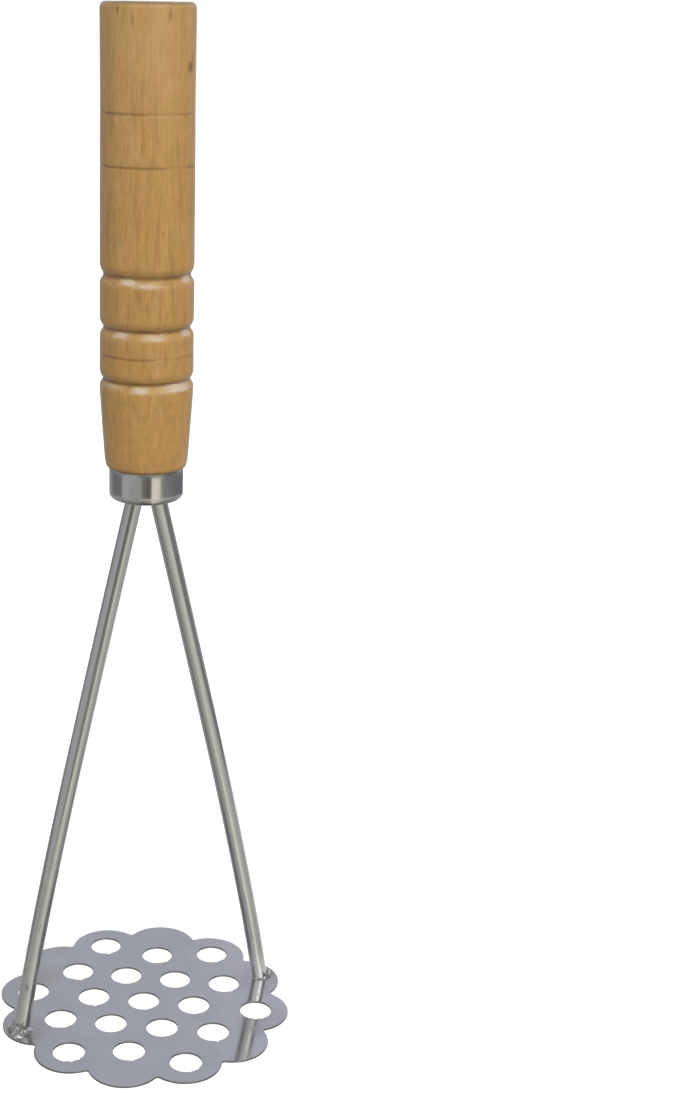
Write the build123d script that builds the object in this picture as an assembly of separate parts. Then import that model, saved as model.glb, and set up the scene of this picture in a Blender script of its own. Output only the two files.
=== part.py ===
from build123d import *
import math
import os

# Potato masher: turned wooden handle on two round steel legs, welded to a flat scalloped plate with round holes.
# Millimetres, +Z up. The origin is the middle of the plate's underside, and the handle's axis is the Z axis.
# The two feet lie on the X axis. The left leg is the one at -X.

# ---- driving dimensions ----------------------------------------------------------------------------------------
# plate
PLATE_T = 0.6            # sheet thickness
LOBES = 12               # scallops round the edge, the first one on +X
LOBE_RHO = 33.6          # radius at which the scallop circles are centred
LOBE_R = 11.0            # radius of one scallop
CUSP_FILLET = 0.8        # small radius in the notch between two scallops
HOLE_R = 4.76            # every hole is the same size
RING_1 = 15.6            # six holes, first one at 30 degrees
RING_2 = 26.9            # six holes, first one at 0 degrees
RING_3 = 34.7            # six holes, first one at 30 degrees
EDGE_EASE = 0.08         # broken edge of the punched sheet

# legs
ROD_R = 2.4              # radius of the round bar
TANG_X = 2.5             # half distance between the two parallel tangs
TANG_TOP = 212.8         # top end of the tangs inside the handle
BEND_R = 26.0            # bend between the tang and the leg
BEND_END_Z = 163.15      # height at which the bend ends and the leg begins
BOW = [                  # the slight outward bow of the leg: (centreline radius, arc length), from the top down
    (14500.0, 80.0),
    (1950.0, 52.0),
    (900.0, 38.0),
]
TOP_LEAN = 13.50         # lean of the leg from vertical just under the ferrule, in degrees

# ferrule: drawn cup
FERRULE_R = 10.3
FERRULE_WALL = 0.5
FERRULE_Z0 = 162.5
FERRULE_CORNER = 1.5
ROD_HOLE_R = 2.55        # holes for the two legs in the cup's floor

# handle
HANDLE_Z0 = 171.6        # shoulder that sits on the ferrule's rim
HANDLE_Z1 = 295.0        # top
TENON_Z0 = 163.4         # lower end of the tenon inside the ferrule
TENON_CHAMFER = 0.9
BORE_R = 5.3             # blind bore for the tangs
BORE_MOUTH_R = 6.4       # countersunk mouth, because the tangs spread there
BORE_MOUTH_TOP = 170.0
BORE_END = 219.8         # end of the full bore; the drill point is above it
DRILL_POINT = 3.1
RESIN_TOP = 216.4

# turned outline of the handle, radius against height
BARREL_FOOT = [(171.6, 10.62), (171.78, 10.93), (172.12, 11.16), (172.65, 11.29), (173.36, 11.44)]
BARREL_LOW = [(173.36, 11.44), (174.49, 11.56), (179.1, 11.89), (184.75, 12.28), (190.48, 12.65), (193.25, 12.82), (194.6, 12.84)]
GROOVE_3 = [(194.6, 12.84), (194.93, 12.80), (195.22, 12.66), (195.77, 12.32), (196.26, 12.03), (196.5, 11.95), (196.76, 11.99), (197.2, 12.18), (197.7, 12.50), (198.29, 12.70), (198.79, 12.79), (199.4, 12.84)]
BAND_LOW = [(199.4, 12.84), (202.1, 12.82), (203.5, 12.81)]
LINE_3 = [(203.5, 12.81), (203.8, 12.75), (204.1, 12.80)]
BAND_LOW_2 = [(204.1, 12.80), (206.9, 12.78), (208.6, 12.77)]
GROOVE_2 = [(208.6, 12.77), (208.98, 12.71), (209.37, 12.56), (209.92, 12.19), (210.46, 11.89), (210.75, 11.82), (211.05, 11.88), (211.55, 12.13), (212.14, 12.43), (212.64, 12.65), (213.23, 12.75), (213.8, 12.78)]
BAND_MID = [(213.8, 12.78), (218.1, 12.78), (222.7, 12.75)]
GROOVE_1 = [(222.7, 12.75), (223.12, 12.70), (223.51, 12.57), (224.11, 12.14), (224.65, 11.87), (225.0, 11.81), (225.29, 11.84), (225.69, 11.95), (226.23, 12.26), (226.78, 12.50), (227.47, 12.68), (228.3, 12.74)]
BARREL_MID = [(228.3, 12.74), (234.1, 12.69), (245.0, 12.65), (253.6, 12.59)]
LINE_2 = [(253.6, 12.59), (253.9, 12.53), (254.2, 12.58)]
BARREL_UP = [(254.2, 12.58), (260.4, 12.56), (267.1, 12.52)]
LINE_1 = [(267.1, 12.52), (267.4, 12.46), (267.7, 12.51)]
BARREL_TOP = [(267.7, 12.51), (273.1, 12.50), (280.5, 12.52), (287.0, 12.55), (292.9, 12.56)]
TOP_EDGE = [(292.9, 12.56), (293.8, 12.50), (294.4, 12.24), (294.8, 11.80), (295.0, 11.2)]

# brad through the ferrule into the tenon
BRAD_AZ = 33.5           # degrees from -Y towards -X
BRAD_Z = 164.6
BRAD_R = 0.45
BRAD_HEAD_R = 0.70
BRAD_HEAD_H = 0.22
BRAD_IN = 6.95           # the point's distance from the axis

# weld beads
FOOT_WELD_BASE_R = 4.9   # radius of the bead on the plate
FOOT_WELD_TOP_R = 2.75
FOOT_WELD_H = 3.0
TANG_WELD = (7.2, 3.4, 1.6, 1.5)   # length, width, height above the tangs, depth between them


# ---- helpers ----------------------------------------------------------------------------------------------------
def polar(radius, degrees):
    return radius * math.cos(math.radians(degrees)), radius * math.sin(math.radians(degrees))


def leg_route():
    """Centreline of the right leg in the XZ plane, from the tang's top down: straight, bend, then three arcs of bow."""
    lean = math.radians(TOP_LEAN)
    bend_top = BEND_END_Z + BEND_R * math.sin(lean)

    def bend(a):
        return TANG_X + BEND_R * (1 - math.cos(a)), 0, bend_top - BEND_R * math.sin(a)

    pieces = [Line((TANG_X, 0, TANG_TOP), (TANG_X, 0, bend_top)),
              ThreePointArc(bend(0), bend(lean / 2), bend(lean))]
    x, _, z = bend(lean)
    for radius, length in BOW:
        turn = length / radius
        # the arc's centre lies on the inner side of the leg, so that the leg bows outwards and steepens downwards
        cx, cz = x - radius * math.cos(lean), z - radius * math.sin(lean)

        def at(t, cx=cx, cz=cz, radius=radius):
            return cx + radius * math.cos(t), 0, cz + radius * math.sin(t)

        pieces.append(ThreePointArc(at(lean), at(lean - turn / 2), at(lean - turn)))
        lean -= turn
        x, _, z = at(lean)
    return Wire(pieces), (x, z, lean)


def at_height(route, z):
    """x of the centreline at a height."""
    low, high = 0.0, 1.0
    for _ in range(60):
        mid = (low + high) / 2
        if (route @ mid).Z > z:
            low = mid
        else:
            high = mid
    return (route @ low).X


# ---- legs -------------------------------------------------------------------------------------------------------
route, _ = leg_route()
bar = sweep(Plane(origin=route @ 0, z_dir=route % 0) * Circle(ROD_R), path=route)
bar = bar - Pos(0, 0, PLATE_T - 15) * Box(200, 60, 30)
right_leg_rod = bar.solid()
left_leg_rod = mirror(right_leg_rod, about=Plane.YZ)
FOOT_X = at_height(route, PLATE_T)

# ---- mashing plate ----------------------------------------------------------------------------------------------
outline = Circle(LOBE_RHO + 1.0)
for i in range(LOBES):
    outline += Pos(*polar(LOBE_RHO, 360 / LOBES * i)) * Circle(LOBE_R)
sheet = extrude(outline, amount=PLATE_T)
half_pitch = math.pi / LOBES
CUSP_AT = LOBE_RHO * math.cos(half_pitch) + math.sqrt(LOBE_R ** 2 - (LOBE_RHO * math.sin(half_pitch)) ** 2)
notches = [e for e in sheet.edges().filter_by(Axis.Z) if abs(math.hypot(e.center().X, e.center().Y) - CUSP_AT) < 0.3]
sheet = fillet(notches, CUSP_FILLET)
hole_centres = [(0.0, 0.0)]
hole_centres += [polar(RING_1, 30 + 60 * i) for i in range(6)]
hole_centres += [polar(RING_2, 60 * i) for i in range(6)]
hole_centres += [polar(RING_3, 30 + 60 * i) for i in range(6)]
for x, y in hole_centres:
    sheet -= Pos(x, y, PLATE_T / 2) * Cylinder(HOLE_R, 4 * PLATE_T)
rims = [e for e in sheet.edges() if abs(e.center().Z) < 1e-6 or abs(e.center().Z - PLATE_T) < 1e-6]
mashing_plate = chamfer(rims, EDGE_EASE).solid()

# ---- foot welds: a bead round each foot, heavier on the outside because the leg leans inwards ------------------
weld_profile = make_face([
    Polyline((0, PLATE_T), (FOOT_WELD_BASE_R, PLATE_T)),
    ThreePointArc((FOOT_WELD_BASE_R, PLATE_T),
                  (FOOT_WELD_TOP_R + 0.75, PLATE_T + 0.95),
                  (FOOT_WELD_TOP_R, PLATE_T + FOOT_WELD_H)),
    Polyline((FOOT_WELD_TOP_R, PLATE_T + FOOT_WELD_H), (0, PLATE_T + FOOT_WELD_H), (0, PLATE_T)),
])
bead = revolve(Plane.XZ * weld_profile, axis=Axis.Z, revolution_arc=360)
right_foot_weld = (Pos(FOOT_X, 0, 0) * bead - right_leg_rod).solid()
left_foot_weld = mirror(right_foot_weld, about=Plane.YZ)

# ---- tang weld: ties the two tangs' ends inside the handle -----------------------------------------------------
length, width, above, below = TANG_WELD
tack = extrude(Plane.XY.offset(TANG_TOP - below) * SlotOverall(length, width), amount=above + below)
tack = fillet(tack.faces().sort_by(Axis.Z)[-1].edges(), 1.0)
tang_weld = (tack - right_leg_rod - left_leg_rod).solid()

# ---- brad -------------------------------------------------------------------------------------------------------
brad_dir = Vector(-math.sin(math.radians(BRAD_AZ)), -math.cos(math.radians(BRAD_AZ)), 0)


def brad_plane(distance):
    return Plane(origin=brad_dir * distance + Vector(0, 0, BRAD_Z), z_dir=brad_dir)


point = 0.8
shank = extrude(brad_plane(BRAD_IN + point) * Circle(BRAD_R), amount=FERRULE_R + 0.05 - BRAD_IN - point)
tip = loft([brad_plane(BRAD_IN) * Circle(0.08), brad_plane(BRAD_IN + point) * Circle(BRAD_R)])
head = extrude(brad_plane(FERRULE_R - 0.2) * Circle(BRAD_HEAD_R), amount=0.2 + BRAD_HEAD_H)
head = chamfer(head.edges().sort_by(lambda e: e.center().dot(brad_dir))[-1], 0.12)
head -= Pos(0, 0, BRAD_Z) * Cylinder(FERRULE_R, 4)
ferrule_brad = (shank + tip + head).solid()

# ---- ferrule ----------------------------------------------------------------------------------------------------
inner = FERRULE_CORNER - FERRULE_WALL
z0, r = FERRULE_Z0, FERRULE_R
c45 = math.sqrt(0.5)
cup_profile = make_face([
    Line((0, z0), (r - FERRULE_CORNER, z0)),
    ThreePointArc((r - FERRULE_CORNER, z0),
                  (r - FERRULE_CORNER + FERRULE_CORNER * c45, z0 + FERRULE_CORNER - FERRULE_CORNER * c45),
                  (r, z0 + FERRULE_CORNER)),
    Polyline((r, z0 + FERRULE_CORNER), (r, HANDLE_Z0), (r - FERRULE_WALL, HANDLE_Z0), (r - FERRULE_WALL, z0 + FERRULE_CORNER)),
    ThreePointArc((r - FERRULE_WALL, z0 + FERRULE_CORNER),
                  (r - FERRULE_CORNER + inner * c45, z0 + FERRULE_CORNER - inner * c45),
                  (r - FERRULE_CORNER, z0 + FERRULE_WALL)),
    Polyline((r - FERRULE_CORNER, z0 + FERRULE_WALL), (0, z0 + FERRULE_WALL), (0, z0)),
])
cup = revolve(Plane.XZ * cup_profile, axis=Axis.Z, revolution_arc=360)
lean_here = TOP_LEAN
hole_x = at_height(route, FERRULE_Z0 + FERRULE_WALL / 2)
for side in (1, -1):
    cup -= Pos(side * hole_x, 0, FERRULE_Z0 + FERRULE_WALL / 2) * Rot(0, -side * lean_here, 0) * Cylinder(ROD_HOLE_R, 6)
handle_ferrule = (cup - ferrule_brad).solid()

# ---- wooden handle ----------------------------------------------------------------------------------------------
tenon_r = FERRULE_R - FERRULE_WALL


def rz(points):
    return [(radius, height) for height, radius in points]


lines = [
    Polyline((0, TENON_Z0), (tenon_r - TENON_CHAMFER, TENON_Z0), (tenon_r, TENON_Z0 + TENON_CHAMFER),
             (tenon_r, HANDLE_Z0), (BARREL_FOOT[0][1], HANDLE_Z0)),
    Spline(rz(BARREL_FOOT)),
]
for stretch in (BARREL_LOW, GROOVE_3, BAND_LOW):
    lines.append(Spline(rz(stretch)))
lines.append(Polyline(rz(LINE_3)))
lines.append(Spline(rz(BAND_LOW_2)))
lines.append(Spline(rz(GROOVE_2)))
lines.append(Spline(rz(BAND_MID)))
lines.append(Spline(rz(GROOVE_1)))
lines.append(Spline(rz(BARREL_MID)))
lines.append(Polyline(rz(LINE_2)))
lines.append(Spline(rz(BARREL_UP)))
lines.append(Polyline(rz(LINE_1)))
lines.append(Spline(rz(BARREL_TOP)))
lines.append(Spline(rz(TOP_EDGE)))
lines.append(Polyline((TOP_EDGE[-1][1], HANDLE_Z1), (0, HANDLE_Z1), (0, TENON_Z0)))
turned = revolve(Plane.XZ * make_face(lines), axis=Axis.Z, revolution_arc=360)


def bore_shape(top, point_height):
    corners = [(0, TENON_Z0), (BORE_MOUTH_R, TENON_Z0), (BORE_R, BORE_MOUTH_TOP), (BORE_R, top)]
    if point_height:
        corners.append((0, top + point_height))
    else:
        corners.append((0, top))
    return revolve(Plane.XZ * make_face(Polyline(*corners, close=True)), axis=Axis.Z, revolution_arc=360)


wooden_handle = (turned - bore_shape(BORE_END, DRILL_POINT) - ferrule_brad).solid()

# ---- tang adhesive ----------------------------------------------------------------------------------------------
tang_adhesive = (bore_shape(RESIN_TOP, 0) - right_leg_rod - left_leg_rod - tang_weld).solid()

# ---- write ------------------------------------------------------------------------------------------------------
NODES = {
    "mashing_plate": mashing_plate,
    "left_leg_rod": left_leg_rod,
    "right_leg_rod": right_leg_rod,
    "left_foot_weld": left_foot_weld,
    "right_foot_weld": right_foot_weld,
    "handle_ferrule": handle_ferrule,
    "ferrule_brad": ferrule_brad,
    "wooden_handle": wooden_handle,
    "tang_weld": tang_weld,
    "tang_adhesive": tang_adhesive,
}

os.makedirs("parts", exist_ok=True)
for name, shape in NODES.items():
    export_step(shape, "parts/%s.step" % name)
print("foot x", round(FOOT_X, 3))
for height in (162.5, 157.4, 138.1, 119.8, 101.1, 81.95, 62.3, 42.3, 26.9, 10.0, 0.8):
    print("leg centreline", height, round(at_height(route, height), 3))
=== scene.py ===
import math

import bmesh
import bpy
import numpy as np
from mathutils import Matrix, Vector, geometry, noise


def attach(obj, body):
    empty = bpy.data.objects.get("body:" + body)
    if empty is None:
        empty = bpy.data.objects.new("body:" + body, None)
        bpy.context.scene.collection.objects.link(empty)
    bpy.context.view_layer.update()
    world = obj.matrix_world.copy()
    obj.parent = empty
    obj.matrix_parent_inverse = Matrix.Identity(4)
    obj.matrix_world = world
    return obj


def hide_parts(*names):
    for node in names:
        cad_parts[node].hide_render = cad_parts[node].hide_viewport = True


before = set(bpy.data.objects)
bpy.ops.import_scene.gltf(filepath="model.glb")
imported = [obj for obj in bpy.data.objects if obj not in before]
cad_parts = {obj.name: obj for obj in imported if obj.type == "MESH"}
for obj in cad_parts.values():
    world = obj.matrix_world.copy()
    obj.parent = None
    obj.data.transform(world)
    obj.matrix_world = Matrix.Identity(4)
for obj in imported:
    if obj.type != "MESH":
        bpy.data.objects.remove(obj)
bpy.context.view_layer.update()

# Potato masher: turned wooden handle, drawn ferrule, two round steel legs, welded to a scalloped plate with round holes.
# Lengths below are in millimetres; meshes are written in metres.
MM = 0.001
FERRULE_Z0, HANDLE_Z0, HANDLE_Z1 = 162.5, 171.6, 295.0
LINES = (267.4, 253.9, 203.8)             # burnt lines
GROOVES = (225.0, 210.75, 196.5)          # bottoms of the V grooves
PLATE_T = 0.6

# =================================================================================================================
# small helpers
# =================================================================================================================


def fractal(x, y, z, octaves=3, seed=0.0):
    """Smooth noise of about -1 to 1 that has the same value on every run."""
    total, size, norm = 0.0, 1.0, 0.0
    for k in range(octaves):
        f = 2.0 ** k
        total += size * noise.noise(Vector((x * f + seed * 7.13, y * f - seed * 3.7, z * f + seed * 1.9 + k * 17.0)))
        norm += size
        size *= 0.5
    return total / norm


def bump_1d(x, centre, width):
    """1 at the centre, falling to 0 at one width to each side."""
    t = min(1.0, abs(x - centre) / width)
    return (1 - t * t) ** 2


def ang_diff(a, b):
    """Difference of two angles in degrees, from -180 to 180."""
    return (a - b + 180.0) % 360.0 - 180.0


def hermite(points, step):
    """Points along a smooth line through the given (z, r) points, about one step apart, ends included."""
    p = np.array(points, float)
    seg = np.hypot(*(p[1:] - p[:-1]).T)
    t = np.concatenate([[0], np.cumsum(seg)])
    m = np.zeros_like(p)
    for i in range(len(p)):
        if i == 0:
            m[i] = (p[1] - p[0]) / (t[1] - t[0])
        elif i == len(p) - 1:
            m[i] = (p[-1] - p[-2]) / (t[-1] - t[-2])
        else:
            a = (p[i] - p[i - 1]) / (t[i] - t[i - 1])
            b = (p[i + 1] - p[i]) / (t[i + 1] - t[i])
            wa, wb = t[i + 1] - t[i], t[i] - t[i - 1]
            m[i] = (a * wa + b * wb) / (wa + wb)
    n = max(1, int(round(t[-1] / step)))
    out = []
    for s in np.linspace(0, t[-1], n + 1):
        i = min(len(p) - 2, int(np.searchsorted(t, s, "right")) - 1)
        h = t[i + 1] - t[i]
        u = (s - t[i]) / h
        out.append((2 * u ** 3 - 3 * u ** 2 + 1) * p[i] + (u ** 3 - 2 * u ** 2 + u) * h * m[i]
                   + (-2 * u ** 3 + 3 * u ** 2) * p[i + 1] + (u ** 3 - u ** 2) * h * m[i + 1])
    return [tuple(q) for q in out]


def make_piece(name, verts, faces, material, stands_for, merge=None):
    """A mesh piece in the shared frame, riding on the one body of the masher."""
    mesh = bpy.data.meshes.new(name)
    mesh.from_pydata([(v[0] * MM, v[1] * MM, v[2] * MM) for v in verts], [], faces)
    bm = bmesh.new()
    bm.from_mesh(mesh)
    if merge:
        bmesh.ops.remove_doubles(bm, verts=bm.verts, dist=merge * MM)
    bmesh.ops.recalc_face_normals(bm, faces=bm.faces)
    for f in bm.faces:
        f.smooth = True
    bm.to_mesh(mesh)
    bm.free()
    mesh.materials.append(material)
    obj = bpy.data.objects.new(name, mesh)
    bpy.context.scene.collection.objects.link(obj)
    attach(obj, "root")
    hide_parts(stands_for)
    return obj


def lathe(rows, segments, closed=False):
    """Vertices and faces of a surface of revolution about Z. rows are (r, z); r = 0 makes a pole. Returns rows' first vertex too."""
    verts, faces, start = [], [], []
    for r, z in rows:
        start.append(len(verts))
        if r <= 1e-9:
            verts.append((0.0, 0.0, z))
        else:
            for j in range(segments):
                a = 2 * math.pi * j / segments
                verts.append((r * math.cos(a), r * math.sin(a), z))
    pairs = list(zip(range(len(rows) - 1), range(1, len(rows))))
    if closed:
        pairs.append((len(rows) - 1, 0))
    for a, b in pairs:
        pole_a, pole_b = rows[a][0] <= 1e-9, rows[b][0] <= 1e-9
        for j in range(segments):
            k = (j + 1) % segments
            if pole_a and pole_b:
                continue
            if pole_a:
                faces.append((start[a], start[b] + j, start[b] + k))
            elif pole_b:
                faces.append((start[a] + j, start[b], start[a] + k))
            else:
                faces.append((start[a] + j, start[b] + j, start[b] + k, start[a] + k))
    return verts, faces, start


# =================================================================================================================
# node helpers for the materials
# =================================================================================================================


class Nodes:
    """Short forms for building one material's node tree."""

    def __init__(self, name):
        self.material = bpy.data.materials.new(name)
        self.material.use_nodes = True
        self.tree = self.material.node_tree
        self.tree.nodes.clear()
        self.out = self.tree.nodes.new("ShaderNodeOutputMaterial")
        self.coords = self.tree.nodes.new("ShaderNodeTexCoord")
        scale = self.tree.nodes.new("ShaderNodeVectorMath")
        scale.operation = "SCALE"
        scale.inputs["Scale"].default_value = 1000.0
        self.link(self.coords.outputs["Object"], scale.inputs[0])
        self.mm = scale.outputs[0]          # position in millimetres, in the shared frame

    def link(self, a, b):
        self.tree.links.new(a, b)

    def put(self, value, socket):
        if hasattr(value, "is_linked") or isinstance(value, bpy.types.NodeSocket):
            self.link(value, socket)
        else:
            socket.default_value = value

    def math(self, op, a, b=0.0, c=None, clamp=False):
        n = self.tree.nodes.new("ShaderNodeMath")
        n.operation = op
        n.use_clamp = clamp
        self.put(a, n.inputs[0])
        self.put(b, n.inputs[1])
        if c is not None:
            self.put(c, n.inputs[2])
        return n.outputs[0]

    def vmath(self, op, a, b=None, scale=None, want=0):
        n = self.tree.nodes.new("ShaderNodeVectorMath")
        n.operation = op
        self.put(a, n.inputs[0])
        if b is not None:
            self.put(b, n.inputs[1])
        if scale is not None:
            self.put(scale, n.inputs["Scale"])
        return n.outputs[want]

    def scaled(self, factors, offset=(0, 0, 0)):
        """Position in mm, times a factor for each axis, plus an offset."""
        v = self.vmath("MULTIPLY", self.mm, factors)
        return self.vmath("ADD", v, offset)

    def xyz(self, vector=None):
        n = self.tree.nodes.new("ShaderNodeSeparateXYZ")
        self.link(self.mm if vector is None else vector, n.inputs[0])
        return n.outputs[0], n.outputs[1], n.outputs[2]

    def combine(self, x, y, z):
        n = self.tree.nodes.new("ShaderNodeCombineXYZ")
        for v, s in zip((x, y, z), n.inputs):
            self.put(v, s)
        return n.outputs[0]

    def noise(self, vector, scale=1.0, detail=3.0, rough=0.5, distortion=0.0, want="Fac"):
        n = self.tree.nodes.new("ShaderNodeTexNoise")
        self.link(vector, n.inputs["Vector"])
        n.inputs["Scale"].default_value = scale
        n.inputs["Detail"].default_value = detail
        n.inputs["Roughness"].default_value = rough
        n.inputs["Distortion"].default_value = distortion
        return n.outputs[want]

    def voronoi(self, vector, scale=1.0, feature="F1", want="Distance", randomness=1.0):
        n = self.tree.nodes.new("ShaderNodeTexVoronoi")
        n.feature = feature
        self.link(vector, n.inputs["Vector"])
        n.inputs["Scale"].default_value = scale
        n.inputs["Randomness"].default_value = randomness
        return n.outputs[want]

    def ramp(self, value, stops, mode="LINEAR"):
        n = self.tree.nodes.new("ShaderNodeValToRGB")
        n.color_ramp.interpolation = mode
        e = n.color_ramp.elements
        while len(e) > 1:
            e.remove(e[-1])
        e[0].position = stops[0][0]
        e[0].color = self.rgba(stops[0][1])
        for pos, col in stops[1:]:
            new = e.new(pos)
            new.color = self.rgba(col)
        self.put(value, n.inputs[0])
        return n.outputs[0]

    @staticmethod
    def rgba(c):
        return (c, c, c, 1.0) if isinstance(c, (int, float)) else (c[0], c[1], c[2], 1.0)

    def remap(self, value, a, b, lo=0.0, hi=1.0, smooth=False):
        n = self.tree.nodes.new("ShaderNodeMapRange")
        n.interpolation_type = "SMOOTHSTEP" if smooth else "LINEAR"
        n.clamp = True
        self.put(value, n.inputs["Value"])
        n.inputs["From Min"].default_value = a
        n.inputs["From Max"].default_value = b
        n.inputs["To Min"].default_value = lo
        n.inputs["To Max"].default_value = hi
        return n.outputs["Result"]

    def mix(self, fac, a, b, mode="MIX"):
        n = self.tree.nodes.new("ShaderNodeMix")
        n.data_type = "RGBA"
        n.blend_type = mode
        self.put(fac, n.inputs[0])
        for v, s in ((a, n.inputs[6]), (b, n.inputs[7])):
            if isinstance(v, (tuple, list)):
                s.default_value = self.rgba(v)
            else:
                self.put(v, s)
        return n.outputs[2]

    def add_all(self, *values):
        total = values[0]
        for v in values[1:]:
            total = self.math("ADD", total, v)
        return total

    def band(self, value, centre, half, soft):
        """1 where value is within half of the centre, fading out over soft."""
        d = self.math("ABSOLUTE", self.math("SUBTRACT", value, centre))
        return self.remap(d, half, half + soft, 1.0, 0.0, smooth=True)

    def spot(self, centre, radii, edge=0.6, wobble=None):
        """1 inside an ellipsoid round a point, fading to 0 at its surface."""
        d = self.vmath("SUBTRACT", self.mm, centre)
        d = self.vmath("DIVIDE", d, radii)
        length = self.vmath("LENGTH", d, want=1)
        if wobble is not None:
            length = self.math("ADD", length, wobble)
        return self.remap(length, edge, 1.0, 1.0, 0.0, smooth=True)

    def bump(self, height, distance_mm, strength=1.0, normal=None):
        n = self.tree.nodes.new("ShaderNodeBump")
        n.inputs["Strength"].default_value = strength
        n.inputs["Distance"].default_value = distance_mm * MM
        self.link(height, n.inputs["Height"])
        if normal is not None:
            self.link(normal, n.inputs["Normal"])
        return n.outputs[0]

    def principled(self, **values):
        n = self.tree.nodes.new("ShaderNodeBsdfPrincipled")
        for key, v in values.items():
            s = n.inputs[key.replace("_", " ")]
            if isinstance(v, (tuple, list)) and s.type == "RGBA":
                s.default_value = self.rgba(v)
            else:
                self.put(v, s)
        self.link(n.outputs[0], self.out.inputs["Surface"])
        return n


def srgb(r, g, b):
    """Linear colour of an 8-bit screen colour."""
    out = []
    for c in (r, g, b):
        c = c / 255.0
        out.append(c / 12.92 if c <= 0.04045 else ((c + 0.055) / 1.055) ** 2.4)
    return tuple(out)


# =================================================================================================================
# materials
# =================================================================================================================


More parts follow.
